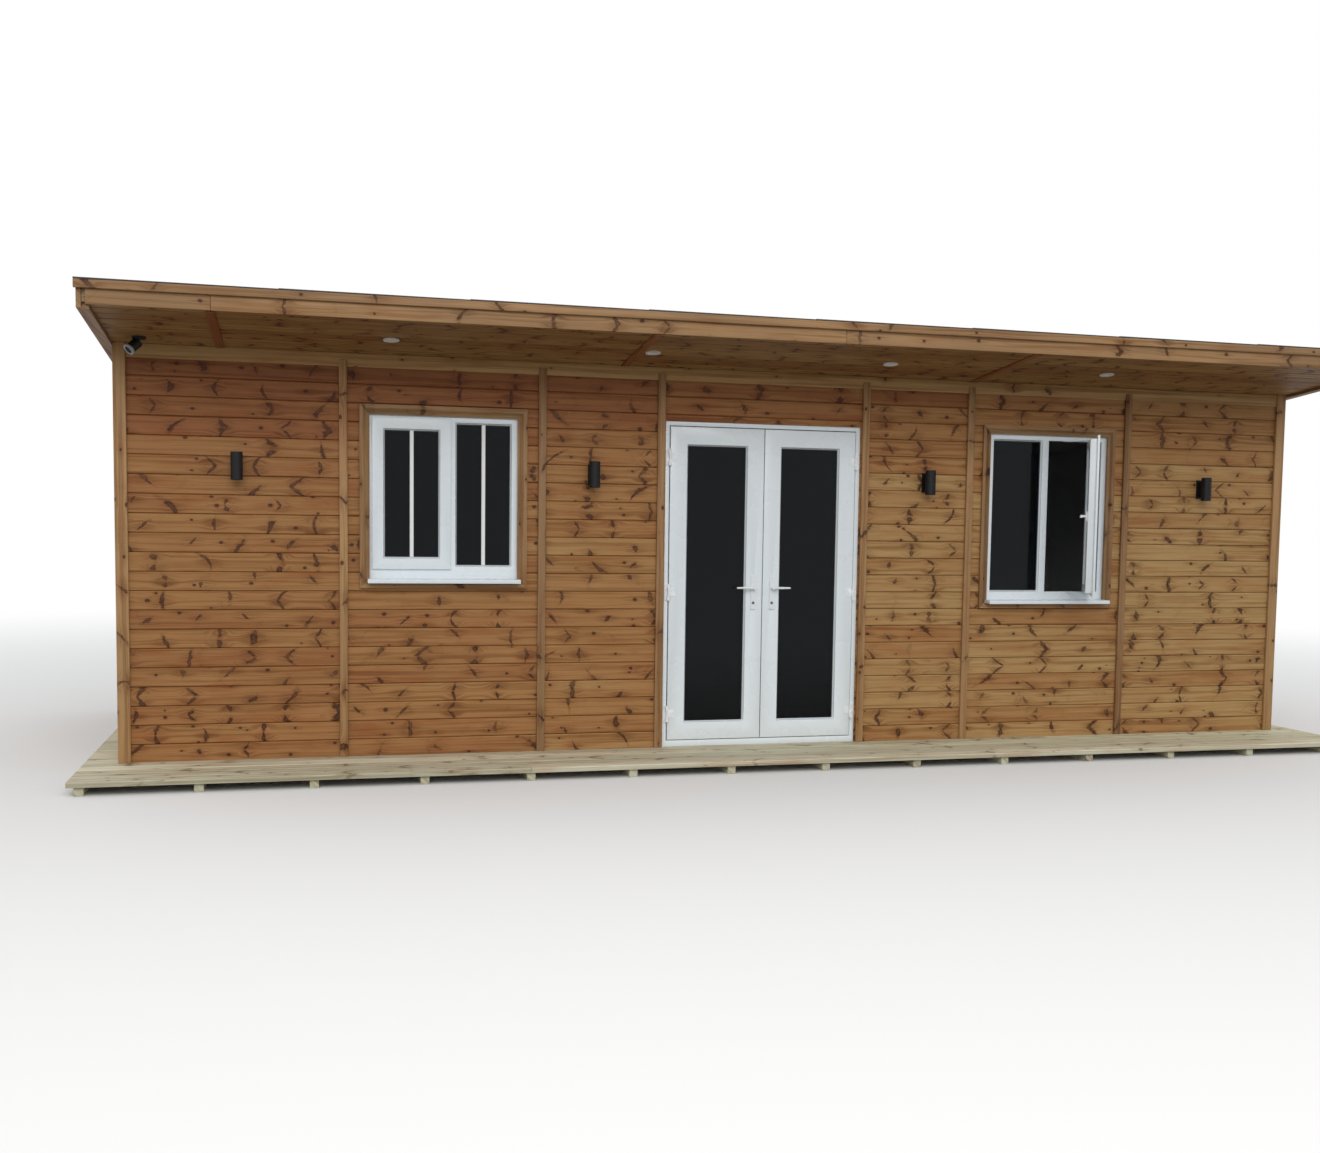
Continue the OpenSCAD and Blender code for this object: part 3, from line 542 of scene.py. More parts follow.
def rounded_mesh(shell, name, arris):
    """The mesh of a shell whose outward arrises are rounded."""
    if arris:
        sharp = [
            edge
            for edge in shell.edges
            if len(edge.link_faces) == 2 and edge.calc_face_angle_signed(0) > SHARP_ANGLE
        ]
        bmesh.ops.bevel(
            shell, geom=sharp, offset=arris, segments=2, profile=0.5, affect="EDGES", clamp_overlap=True
        )
    mesh = written(shell, bpy.data.meshes.new(name))
    mesh.shade_smooth()
    mesh.set_sharp_from_angle(angle=SHARP_ANGLE)
    return mesh


def lay_grain(mesh, salt, tones):
    """Gives each solid a seed, a tone and a UV map whose first axis runs along the solid's longest side.

    The second axis is the sum of the other two coordinates, counted from the solid's low corner, so that
    it runs on round a long edge.
    """
    points = read(mesh.vertices, "co", 3)
    label = islands(points, mesh_edges(mesh))
    count = label.max() + 1
    low = np.full((count, 3), np.inf)
    high = np.full((count, 3), -np.inf)
    np.minimum.at(low, label, points)
    np.maximum.at(high, label, points)
    long_axis = np.argmax(high - low, axis=1)[label]
    row = np.arange(len(points))
    along = points[row, long_axis]
    base = low[label]
    store(mesh, "seed", random_for(count, salt)[label])
    store(mesh, "tone", (tones[0] + (tones[1] - tones[0]) * random_for(count, salt + TONE_SALT))[label])
    store_uv(mesh, np.stack([along, points.sum(1) - along - base.sum(1) + base[row, long_axis]], -1))


def dress(node, material, arris, salt, tones=(0.2, 0.8), shell=None):
    """Replaces a frame node by a dressed copy of it."""
    mesh = rounded_mesh(shell or merged_shell(node), "dressed_" + node, arris)
    lay_grain(mesh, salt, tones)
    return add_piece(mesh, material, NODES[node]["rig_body"], (node,))


def paint(material, *nodes):
    """Gives frame nodes their finish."""
    for node in nodes:
        slots = NODES[node].data.materials
        slots.clear()
        slots.append(material)


# Finishes


def arithmetic(operation, swapped=False):
    """A method of Signal that adds a math node for an operator."""

    def method(self, other):
        return self.nodes.math(operation, *((other, self) if swapped else (self, other)))

    return method


class Signal:
    """A value in a node tree. Arithmetic with it adds math nodes."""

    def __init__(self, nodes, socket):
        self.nodes = nodes
        self.socket = socket

    __add__ = __radd__ = arithmetic("ADD")
    __mul__ = __rmul__ = arithmetic("MULTIPLY")
    __sub__ = arithmetic("SUBTRACT")
    __rsub__ = arithmetic("SUBTRACT", swapped=True)
    __truediv__ = arithmetic("DIVIDE")
    __lt__ = arithmetic("LESS_THAN")


class Nodes:
    """A node tree that is filled one line at a time."""

    def __init__(self, tree):
        self.tree = tree
        tree.nodes.clear()

    def feed(self, socket, value):
        """Links a signal to a socket, or gives it a constant."""
        if isinstance(value, Signal):
            self.tree.links.new(value.socket, socket)
        elif hasattr(socket.default_value, "__len__") and len(socket.default_value) == 4 and len(value) == 3:
            socket.default_value = (*value, 1.0)
        else:
            socket.default_value = value

    def node(self, kind, fed=(), **settings):
        """A new node with its settings. fed names its sockets, or is a list of values for the first ones."""
        made = self.tree.nodes.new(kind)
        for key, value in settings.items():
            setattr(made, key, value)
        for key, value in fed.items() if isinstance(fed, dict) else enumerate(fed):
            self.feed(made.inputs[key], value)
        return made

    def signal(self, kind, fed=(), output=0, **settings):
        """One output of a new node."""
        return Signal(self, self.node(kind, fed, **settings).outputs[output])

    def math(self, operation, first, second=0.5):
        return self.signal("ShaderNodeMath", (first, second), operation=operation)

    def vector(self, operation, first, second=(0.0, 0.0, 0.0)):
        output = "Value" if operation in ("LENGTH", "DOT_PRODUCT") else "Vector"
        return self.signal("ShaderNodeVectorMath", (first, second), output, operation=operation)

    def combine(self, x, y, z=0.0):
        return self.signal("ShaderNodeCombineXYZ", (x, y, z))

    def length(self, x, y):
        """The length of the arrow with two parts."""
        return self.vector("LENGTH", self.combine(x, y))

    def separate(self, value):
        return [Signal(self, part) for part in self.node("ShaderNodeSeparateXYZ", (value,)).outputs]

    def attribute(self, name):
        return self.signal("ShaderNodeAttribute", output="Fac", attribute_name=name)

    def place(self):
        """The place on the object, in its own coordinates."""
        return self.signal("ShaderNodeTexCoord", output="Object")

    def noise(self, where, scale=1.0, detail=2.0, roughness=0.5):
        fed = {"Vector": where, "Scale": scale, "Detail": detail, "Roughness": roughness}
        return self.signal("ShaderNodeTexNoise", fed, "Fac")

    def ramp(self, value, low, high, start=0.0, end=1.0):
        """A smooth step of value from start to end between low and high."""
        fed = (value, low, high, start, end)
        return self.signal("ShaderNodeMapRange", fed, interpolation_type="SMOOTHSTEP")

    def mix(self, share, first, second, blend="MIX"):
        """The first colour, with a share of the second."""
        return self.signal(
            "ShaderNodeMix", {0: share, 6: first, 7: second}, 2, data_type="RGBA", blend_type=blend
        )

    def turn(self, value, low, high, first, second, share=1.0):
        """The first colour, with a share of the second that grows while value runs from low to high."""
        return self.mix(self.ramp(value, low, high, 0.0, share), first, second)

    def tint(self, shown, by):
        """A colour times another one."""
        return self.mix(1.0, shown, by, "MULTIPLY")

    def seen_by_eye(self):
        """1 on rays from the camera and on reflected and transmitted rays, 0 on bounced light."""
        path = self.node("ShaderNodeLightPath").outputs
        camera, glossy, through = (
            Signal(self, path[name]) for name in ("Is Camera Ray", "Is Glossy Ray", "Is Transmission Ray")
        )
        return self.math("MAXIMUM", self.math("MAXIMUM", camera, glossy), through)


class Finish(Nodes):
    """A material with one shader."""

    def __init__(self, name):
        self.material = bpy.data.materials.new(name)
        self.material.use_nodes = True
        super().__init__(self.material.node_tree)
        self.shader = self.node("ShaderNodeBsdfPrincipled")
        self.node("ShaderNodeOutputMaterial", (Signal(self, self.shader.outputs[0]),))

    def set(self, **values):
        """Feeds the shader's sockets, with _ for a space in a socket's name, and gives the material."""
        for key, value in values.items():
            self.feed(self.shader.inputs[key.replace("_", " ")], value)
        return self.material

    def bump(self, height, strength, distance):
        """A relief of a height times a distance."""
        fed = {"Height": height, "Strength": strength, "Distance": distance}
        self.set(Normal=self.signal("ShaderNodeBump", fed))

    def clouded(self, cloud, low, high):
        """A roughness from low to high that follows a cloud."""
        return self.ramp(cloud, 0.3, 0.7, low, high)


def whorls_of(finish, u, v, seed, share, board):
    """Slanted knots that reach across a board, one or a mirrored pair in each stretch of its length.

    A knot is a line that leans and curves across the board. Reach is the distance from that line over the
    knot's half width, which grows towards one end, joined at right angles with the distance along it over
    its half length, so it is 1 at the knot's edge. For a pair the board is folded over at its middle.
    Returns the reach, whether a knot is there, how far the grain bends round it, and how near it is.
    """
    cell = finish.math("FLOOR", u / WHORL_CELL)
    within = u - cell * WHORL_CELL
    draws = []
    for k in (1.0, 2.0, 3.0):
        where = finish.combine(cell, seed * 97.0, k)
        draws += finish.separate(
            finish.signal("ShaderNodeTexWhiteNoise", (where,), "Color", noise_dimensions="3D")
        )
    place, height, lean, curve, tall, wide, pairing, taper, chance = draws
    along = within - (place * 0.4 + 0.3) * WHORL_CELL
    paired = pairing < PAIRED_SHARE
    folded = finish.math("ABSOLUTE", v - board / 2) + board / 2
    middle = (height * (0.76 - paired * 0.46) + paired * 0.46 + 0.12) * board
    up = v + paired * (folded - v) - middle
    lean = (lean * 2.0 - 1.0) * MOST_LEAN
    curve = (curve * 2.0 - 1.0) * MOST_CURVE
    aside = along - (curve * up + lean) * up
    half_length = tall * tall * KNOT_LENGTH[1] + KNOT_LENGTH[0]
    half_width = wide * wide * KNOT_WIDTH[1] + KNOT_WIDTH[0]
    rise = up / half_length
    grow = (taper * 1.5 - 0.75) * finish.ramp(rise, -1.2, 1.2, -1.0, 1.0)
    reach = finish.length(aside / (half_width * (grow + 1.0)), rise)
    wobble = finish.noise(finish.combine(u * 0.6, v, seed), 52.0, 2.0, 0.6)
    reach = reach + (wobble - 0.5) * 2.6
    present = chance < share
    near = finish.ramp(finish.length(along / 0.095, up / 0.038), 0.15, 1.1, 1.0, 0.0) * present
    core = middle + paired * (board / 2 - middle)
    return reach, present, near * 0.7 * (v - core), near


def pins_of(finish, u, v, seed, share):
    """Small round knots, one at most in each cell of a scattered grid.

    Reach is the distance from the knot's middle over its radius. Returns the same four as whorls_of.
    """
    where = finish.combine(u / PIN_CELL[0], v / PIN_CELL[1], seed * 19.0)
    fed = {"Vector": where, "Scale": 1.0, "Randomness": 0.9}
    cells = finish.node("ShaderNodeTexVoronoi", fed, voronoi_dimensions="3D").outputs
    offset = finish.vector("SUBTRACT", where, Signal(finish, cells["Position"]))
    aside, up, _ = finish.separate(finish.vector("MULTIPLY", offset, (*PIN_CELL, 0.0)))
    chance, size, _ = finish.separate(Signal(finish, cells["Color"]))
    radius = size * PIN_RADIUS[1] + PIN_RADIUS[0]
    present = chance < share
    wobble = finish.noise(finish.vector("MULTIPLY", where, (11.0, 4.0, 1.0)))
    reach = finish.length(aside * 0.75, up) / radius + (wobble - 0.5) * 0.8
    near = finish.ramp(finish.length(aside * 0.28, up) / radius, 0.0, 3.6, 0.8, 0.0) * present
    return reach, present, near * up, near


def timber(
    name, shades, knot, whorls=0.85, pins=0.3, board=0.113, groove_shade=0.0, coarse=1.0, roughness=0.56
):
    """Stained or treated boards of several shades: a tone for each board, streaks, and knots that bend them.

    A board's tone, which drifts along it, tells where it lies between the darkest shade, the last one, and
    the lightest. The seed's odd factors carry each board to a place of its own in every pattern.
    """
    finish = Finish(name)
    level, across, _ = finish.separate(finish.signal("ShaderNodeUVMap", uv_map="UVMap"))
    seed = finish.attribute("seed")
    u, v = seed * 53.0 + level, seed * 17.0 + across
    reach, present, bend, near = zip(
        whorls_of(finish, u, across, seed, whorls, board), pins_of(finish, u, v, seed, pins)
    )
    knots = list(zip(reach, present))
    core = finish.math("MAXIMUM", *(finish.ramp(far, 0.80, 1.20, 1.0, 0.0) * there for far, there in knots))
    halo = finish.math("MAXIMUM", *(finish.ramp(far, 0.9, 2.3, 1.0, 0.0) * there for far, there in knots))
    heart = finish.math("MINIMUM", *(finish.ramp(far, 0.0, 0.9) for far in reach))
    near = finish.math("MAXIMUM", *near)
    grain = v - (bend[0] + bend[1]) + finish.noise(finish.combine(u, v * 4.0, seed), 1.3) * 0.030
    broad = finish.noise(finish.combine(u * 0.9, grain * (BROAD / coarse), seed), 1.0, 3.0, 0.55)
    fine = finish.noise(finish.combine(u * 5.0, grain * (FINE / coarse), seed), 1.0, 2.0, 0.6)
    rings = finish.math("SINE", grain * (RINGS / coarse)) * 0.5 + 0.5
    drift = finish.noise(finish.combine(u * 1.1, v * 6.0, seed))
    tone = (drift - 0.5) * 0.7 + finish.attribute("tone")
    base = shades[-1]
    for lighter, step in reversed(list(zip(shades[:-1], TONE_STEPS))):
        base = finish.turn(tone, *step, base, lighter)
    flush = finish.noise(finish.combine(u * 3.0, v * 14.0, seed))
    base = finish.turn(flush, 0.48, 0.75, base, finish.tint(base, REDDER), 0.6)
    darker = finish.tint(base, DARKER)
    shown = finish.turn(broad, 0.42, 0.72, base, darker, 0.90)
    shown = finish.mix(rings * (near * 0.62 + 0.14), shown, darker)
    shown = finish.turn(fine, 0.45, 0.72, shown, darker, 0.40)
    swirl = near * finish.ramp(broad, 0.35, 0.65, 0.05, 0.42)
    shown = finish.mix(finish.math("MAXIMUM", halo * 0.60, swirl), shown, finish.tint(shown, ROUND_KNOTS))
    shown = finish.mix(core * 0.96, shown, finish.mix(heart, finish.mix(0.18, knot, base), knot))
    # Painted shade in the joints, and a painted highlight on the arris above each one
    if groove_shade:
        groove = finish.attribute("groove")
        pale = finish.math("MAXIMUM", groove * -0.8, 0.0)
        shown = finish.mix(pale, shown, finish.tint(shown, PAINTED_ARRIS_HIGHLIGHT))
        shown = finish.mix(finish.math("MAXIMUM", groove * groove_shade, 0.0), shown, knot)
    finish.bump(fine * 0.6 + rings * 0.4 - core * 0.5, 0.35, 0.0006)
    dull = finish.ramp(broad, 0.2, 0.8, roughness - 0.08, roughness + 0.08)
    return finish.set(Base_Color=shown, Roughness=dull, Specular_IOR_Level=0.2)


def white_plastic(settings):
    """Smooth white frames with a faint unevenness in their gloss."""
    finish = Finish("white_plastic")
    where = finish.place()
    dust = finish.noise(where, 60.0, 3.0, 0.7)
    white = tuple(settings.plastic)
    shown = finish.turn(dust, 0.50, 0.9, white, tuple(0.96 * part for part in white), 0.5)
    finish.bump(dust, 0.05, 0.0003)
    return finish.set(Base_Color=shown, Roughness=finish.clouded(finish.noise(where, 6.0, 3.0), 0.22, 0.34))


def clear_glass(settings):
    """Clear double glazing with faint dust; its dark tint is partly painted shade of the dim room behind it.
    """
    finish = Finish("glazing")
    dust = finish.ramp(finish.noise(finish.place(), 14.0, 4.0, 0.6), 0.5, 0.9, 0.0, 0.04)
    return finish.set(Base_Color=tuple(settings.glass), Roughness=dust, Transmission_Weight=1.0, IOR=1.25)


def powder_coat(name, shade, worn, dull, gloss=0.5, grain=30.0, mark=None):
    """Powder coat: a fine orange peel over a clouded colour, on which a function may leave a mark."""
    finish = Finish(name)
    where = finish.place()
    cloud = finish.noise(where, grain)
    shown = finish.turn(cloud, 0.45, 0.7, shade, worn)
    if mark:
        shown = mark(finish, where, cloud, shown)
    finish.bump(finish.noise(where, 900.0), 0.12, 0.0003)
    return finish.set(Base_Color=shown, Roughness=finish.clouded(cloud, *dull), Specular_IOR_Level=gloss)


def lock_mark(lock, radius):
    """Marks the dull steel face of a lock barrel, and its dark rim, at a place (x, z)."""

    def mark(finish, where, cloud, shown):
        x, _, z = finish.separate(where)
        reach = finish.length(x - lock[0], z - lock[1]) / radius
        turned = finish.noise(finish.vector("MULTIPLY", where, (200.0, 1.0, 1500.0)))
        steel = finish.mix(turned, (0.10, 0.10, 0.105), (0.18, 0.18, 0.185))
        steel = finish.turn(reach, 0.85, 1.0, steel, (0.02, 0.02, 0.02))
        return finish.turn(reach, 1.02, 1.10, steel, shown)

    return mark


def ring_mark(settings):
    """Marks the camera's pale grey ring at its front.

    The distance along the barrel's axis tells the ring from the body, and the distance from that axis tells
    the lens from the ring.
    """
    pan, tilt = math.radians(settings.camera_pan), math.radians(settings.camera_tilt)
    axis = (math.sin(pan) * math.cos(tilt), -math.cos(pan) * math.cos(tilt), -math.sin(tilt))
    middle = (settings.camera_x, settings.camera_y, roof_z(settings.camera_y, -settings.camera_drop))

    def mark(finish, where, cloud, shown):
        off = finish.vector("SUBTRACT", where, middle)
        along = finish.vector("DOT_PRODUCT", off, axis)
        aside = finish.math("SQRT", finish.vector("DOT_PRODUCT", off, off) - along * along)
        ring = finish.ramp(along, *RING_START) * finish.ramp(aside, *RING_INSIDE)
        return finish.mix(ring, shown, finish.mix(cloud, (0.34, 0.35, 0.37), (0.42, 0.43, 0.45)))

    return mark


def white_metal():
    """White powder coat of the hinges, levers and handles."""
    return powder_coat("white_metal", WHITE_METAL, (1.0, 1.0, 1.0), (0.21, 0.34))


def plate_metal(side, settings):
    """White powder coat of one leaf's plates, with the face of its lock barrel."""
    low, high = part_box(side + "_door_plates")
    worn = tuple(0.95 * part for part in WHITE_METAL)
    mark = lock_mark(((low.x + high.x) / 2, settings.lock_z), settings.lock_r)
    return powder_coat(side + "_plate_metal", WHITE_METAL, worn, (0.22, 0.34), mark=mark)


def lamp_white():
    """Pale powder coat of the downlights."""
    return powder_coat("lamp_white", (0.78, 0.78, 0.76), (0.979, 0.979, 0.954), (0.30, 0.43))


def black_metal(settings):
    """Black powder coat of the wall lights."""
    worn = (0.0115, 0.0115, 0.01275)
    return powder_coat("black_metal", tuple(settings.black), worn, (0.45, 0.58), 0.25)


def camera_shell(settings):
    """Black powder coat of the camera, with its pale ring."""
    worn = (0.012, 0.012, 0.013)
    mark = ring_mark(settings)
    return powder_coat("camera_shell", tuple(settings.black), worn, (0.42, 0.55), 0.3, 60.0, mark)


def brushed_steel():
    """Stainless steel, brushed along its length."""
    finish = Finish("stainless_steel")
    lines = finish.noise(finish.vector("MULTIPLY", finish.place(), (40.0, 40.0, 1500.0)))
    shown = finish.mix(lines, (0.50, 0.50, 0.50), (0.68, 0.68, 0.69))
    return finish.set(Base_Color=shown, Roughness=finish.clouded(lines, 0.25, 0.40), Metallic=1.0)


def mineral_felt(settings):
    """Slate-grey felt with a mineral grit."""
    finish = Finish("roof_felt")
    where = finish.place()
    grit = finish.noise(where, 520.0, 3.0, 0.8)
    cloud = finish.noise(where, 1.7, 4.0, 0.6)
    felt = tuple(settings.felt)
    pale = tuple(2.1 * part for part in felt)
    shown = finish.turn(cloud, 0.35, 0.75, finish.turn(grit, 0.4, 0.7, felt, pale), pale, 0.4)
    finish.bump(grit, 0.6, 0.0012)
    return finish.set(Base_Color=shown, Roughness=finish.clouded(cloud, 0.85, 0.95))


def rubber_seal():
    """Dark grey rubber of the glass seals."""
    finish = Finish("rubber_seal")
    cloud = finish.noise(finish.place(), 80.0)
    shown = finish.mix(cloud, (0.022, 0.022, 0.024), (0.040, 0.040, 0.042))
    return finish.set(Base_Color=shown, Roughness=0.7)


def wall_paint():
    """Matt paint with a roller's stipple."""
    finish = Finish("painted_lining")
    where = finish.place()
    finish.bump(finish.noise(where, 240.0), 0.2, 0.0005)
    shown = finish.mix(finish.noise(where, 2.0), (0.66, 0.66, 0.64), (0.72, 0.72, 0.70))
    return finish.set(Base_Color=shown, Roughness=0.85)


def shades_of(settings, *keys):
    """The colours of a group of settings that have these names."""
    return [tuple(getattr(settings, key)) for key in keys]


# Pieces


def joints_between(low, high, first, cover):
    """Edges of the courses between two heights, with a joint at first and one every cover after it."""
    inner = np.arange(first, high - LEAST_COURSE * cover, cover)
    inner = inner[inner > low + LEAST_COURSE * cover]
    return np.concatenate([[low], inner, [high]])


def courses(bay, edges, holes, salt, tone, spread=0.34, painted_shade_height=0.0):
    """Boards of one bay, row by row, each cut round the holes that it meets.

    The rows near the top, within the height given for the shade, turn step by step to the darkest tone:
    painted shade under the eaves.
    """
    pieces = []
    for row, (low, high) in enumerate(zip(edges[:-1], edges[1:])):
        first, last = row == 0, row == len(edges) - 2
        start = bay[0]
        for left, right, foot, head in sorted(holes):
            if min(bay[1] - left, right - bay[0], high - foot, head - low) > MILLIMETRE:
                pieces += [
                    [start, left, low, high, first, last, row],
                    [left, right, low, foot, first, True, row],
                    [left, right, head, high, True, last, row],
                ]
                start = right
        pieces.append([start, bay[1], low, high, first, last, row])
    pieces = [piece for piece in pieces if min(piece[1] - piece[0], piece[3] - piece[2]) > MILLIMETRE]
    seeds = random_for(len(pieces), salt)
    tones = tone + spread * (random_for(len(edges), salt + ROW_SALT) - 0.5)
    # Painted shade of the eaves: the top rows are darkened step by step
    if painted_shade_height:
        share = np.clip((edges - edges[-1]) / painted_shade_height + 1.0, 0.0, 1.0)
        tones = tones - share * (PAINTED_SHADE_DROP[0] - PAINTED_SHADE_DROP[1] * tone)
    return [[*piece[:6], seed, tones[piece[6]], edges[piece[6]]] for piece, seed in zip(pieces, seeds)]


def matchboard_profile(settings, thickness):
    """Outline of a matchboard: half a V joint on each long edge, with painted shade on the low one and a
    painted highlight on the high one.
    """
    slit = settings.slit / 2
    profile = outline([
        (slit, thickness, 1),
        (slit, settings.groove_d, 1),
        (settings.groove_w / 2, 0.0, 0),
    ])
    # The high edge's slope carries a painted highlight in place of painted shade
    profile[4] = (1, slit, settings.groove_d, -1)
    return profile


def strip_centres(run, face):
    """Middles of the cover strips on one wall's face, along the level axis run."""
    low, high = solids_of("cover_strips")
    middle = (low + high) / 2
    return np.sort(middle[np.abs(middle[:, 1 - run] - face) < STRIP_REACH, run])


def bays_of(low, high, centres):
    """Start and end of each bay between two ends, parted at the strips' middles."""
    edges = np.concatenate([[low], centres, [high]])
    inset = np.full(len(edges), BAY_GAP / 2)
    inset[0] = inset[-1] = 0.0
    return list(zip(edges[:-1] + inset[:-1], edges[1:] - inset[1:]))


def on_wall(run, face, inward):
    """Places boards on an upright wall whose level axis is run, with depths counted inward from its face."""

    def place(along, across, depth):
        """Along the wall, away from its face by the depth, and up by the distance across."""
        away = face + inward * depth
        return np.stack([along, away, across] if run == 0 else [away, along, across], -1)

    return place


class POD_OT_clad_walls(bpy.types.Operator):
    """Lay matchboards over the four walls, bay by bay"""

    bl_idname = "pod.clad_walls"
    bl_label = "Clad the walls"

    def execute(self, context):
        settings = context.scene.cladding
        shades = shades_of(settings, "golden", "brown", "russet", "darkest_and_eaves_shade")
        stain = timber("stained_cladding", shades, tuple(settings.knot), groove_shade=0.45)
        thickness = WALL_HIGH.y - WALL_LOW.y
        profile = matchboard_profile(settings, thickness)
        low, high = solids_of("window_frames")
        holes = [(a[0], b[0], a[2], b[2]) for a, b in zip(low, high)]
        low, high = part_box("door_frame")
        holes.append((low.x, high.x, low.z, high.z))
        low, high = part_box("soffit_boards")
        side_up = high.z - roof_z(low.y)
        ends = (settings.left_tone, settings.right_tone)
        # Each wall: its level axis, its face, the way inward, its tones at both ends and two salts
        for name, run, face, inward, tones, salt, stand_salt in (
            ("front", 0, FACE_Y, 1, ends, 100, 1),
            ("back", 0, BACK_Y, -1, (0.55, 0.55), 200, 2),
            ("left", 1, -SIDE_X, 1, (0.35, 0.35), 290, 2),
            ("right", 1, SIDE_X, -1, (0.75, 0.75), 310, 4),
        ):
            low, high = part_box(name + "_cladding")
            # Only the front wall has holes cut and painted shade under its eaves
            cut_round, painted_shade_height = (holes, settings.painted_shade_height) if name == "front" else ((), 0.0)
            top = {"front": SOFFIT_Z, "back": high.z - SOFFIT_RISE * thickness}.get(name, high.z)
            edges = joints_between(DECK_TOP, top, DECK_TOP + settings.first_joint, settings.cover)
            boards = []
            for k, bay in enumerate(bays_of(low[run], high[run], strip_centres(run, face))):
                share = (sum(bay) / 2 - low[run]) / (high[run] - low[run])
                tone = tones[0] * (1 - share) + tones[1] * share
                boards += courses(bay, edges, cut_round, salt + k, tone, painted_shade_height=painted_shade_height)
            place = on_wall(run, face, inward)
            mesh = boards_mesh(name + "_boards", boards, profile, place, stand_salt, settings.play)
            if run == 1:
                reshape(mesh, keep_side, (0.0, FACE_Y, roof_z(FACE_Y, side_up)), (0.0, SOFFIT_RISE, 1.0))
            add_piece(mesh, stain, "root", (name + "_cladding",))
        return {"FINISHED"}


class POD_OT_line_soffit(bpy.types.Operator):
    """Line the soffit with matchboards that run along the front"""

    bl_idname = "pod.line_soffit"
    bl_label = "Line the soffit"

    def execute(self, context):
        settings = context.scene.cladding
        shades = shades_of(settings, "soffit", "soffit", "soffit_dark")
        stain = timber("stained_soffit", shades, tuple(settings.knot), groove_shade=0.90)
        low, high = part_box("soffit_boards")
        strip_low, strip_high = solids_of("soffit_cover_strips")
        middles = np.sort((strip_low[:, 0] + strip_high[:, 0]) / 2)
        edges = joints_between(low.y, high.y, low.y + SOFFIT_JOINT, settings.cover)
        boards = []
        for k, bay in enumerate(bays_of(low.x, high.x, middles)):
            boards += courses(bay, edges, (), 400 + k, 0.30, spread=0.6)

        def overhead(along, across, depth):
            """Along X, across Y, and above the soffit's underside by the depth."""
            return np.stack([along, across, roof_z(across) + depth], -1)

        profile = matchboard_profile(settings, high.z - roof_z(low.y))
        mesh = boards_mesh("soffit_matchboards", boards, profile, overhead, 6, settings.play)
        add_piece(mesh, stain, "root", ("soffit_boards",))
        return {"FINISHED"}


class POD_OT_lay_decking(bpy.types.Operator):
    """Lay the decking boards on their joists"""

    bl_idname = "pod.lay_decking"
    bl_label = "Lay the decking"

    def execute(self, context):
        settings = context.scene.deck
        shades = shades_of(settings, "light", "green", "dull")
        planks = timber(
            "decking_timber", shades, (0.20, 0.16, 0.09), whorls=0.25, pins=0.35, groove_shade=0.25,
            roughness=0.7,
        )
        low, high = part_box("decking")
        pitch = (FACE_Y - low.y + settings.gap) / settings.count
        starts = np.arange(low.y, high.y - LEAST_PLANK * pitch, pitch)
        joist_low, joist_high = solids_of("base_joists")
        middles = np.sort((joist_low[:, 0] + joist_high[:, 0]) / 2)
        seeds = random_for(2 * len(starts), 500).reshape(-1, 2)
        board_tones = random_for(2 * len(starts), 501).reshape(-1, 2)
        boards = []
        for row, start in enumerate(starts):
            end = min(start + pitch - settings.gap, high.y)
            joint = middles[len(middles) // 2 + DECK_JOINTS[row % len(DECK_JOINTS)]]
            for k, (a, b) in enumerate(((low.x, joint - MILLIMETRE), (joint + MILLIMETRE, high.x))):
                boards.append([a, b, start, end, False, False, seeds[row, k], board_tones[row, k], start])
        thickness, arris, slope = high.z - low.z, settings.arris, 0.3 * settings.arris
        # The sides of each decking board carry painted shade, fading over its rounded arrises
        profile = outline([(0.0, thickness, 1), (0.0, arris, 1), (slope, slope, 0), (arris, 0.0, 0)])

        def flat(along, across, depth):
            """Along X, across Y, and below the decking's top by the depth."""
            return np.stack([along, across, high.z - depth], -1)

        mesh = boards_mesh("decking_boards", boards, profile, flat, 7)
        add_piece(mesh, planks, "root", ("decking",))
        sawn = timber("base_timber", shades, (0.16, 0.12, 0.07), 0.2, 0.2, coarse=1.4)
        dress("base_joists", sawn, arris / 2, 510)
        return {"FINISHED"}


class POD_OT_fix_trim(bpy.types.Operator):
    """Fix the strips, bands, fascias and surrounds"""

    bl_idname = "pod.fix_trim"
    bl_label = "Fix the timber trim"

    def execute(self, context):
        settings = context.scene.trim
        cladding = context.scene.cladding
        knot = tuple(cladding.knot)
        shades = shades_of(settings, "light", "middle", "dark")
        stain = timber("stained_trim", shades, knot, whorls=0.35, pins=0.25, board=0.08, roughness=0.52)
        shades = shades_of(cladding, "golden", "brown", "russet", "darkest_and_eaves_shade")
        eaves = timber("stained_eaves", shades, knot, whorls=0.15, pins=0.25, board=0.10, roughness=0.52)
        shells = {
            "window_surrounds": mitred_rings("window_surrounds"),
            "front_fascia": butted("front_fascia", tuple(settings.fascia_joints)),
            "back_fascia": butted("back_fascia", (0.0,)),
        }
        # Each piece: its finish, its salt and the tones that its boards lie between
        for node, material, salt, tones in (
            ("front_fascia", stain, 600, (0.62, 0.78)),
            ("front_roof_trim", stain, 601, (0.50, 0.70)),
            ("bargeboards", stain, 602, (0.45, 0.65)),
            ("back_fascia", stain, 603, (0.45, 0.70)),
            ("corner_trims", stain, 604, (0.85, 1.00)),
            ("cover_strips", stain, 605, (0.35, 0.90)),
            ("window_surrounds", stain, 606, (0.42, 0.78)),
            # The soffit cover strips lie at the darkest stain: painted shade under the soffit
            ("soffit_cover_strips", eaves, 620, (-0.7, -0.4)),
            ("eaves_bands", eaves, 621, (0.75, 0.95)),
        ):
            dress(node, material, settings.arris, salt, tones, shells.get(node))
        return {"FINISHED"}


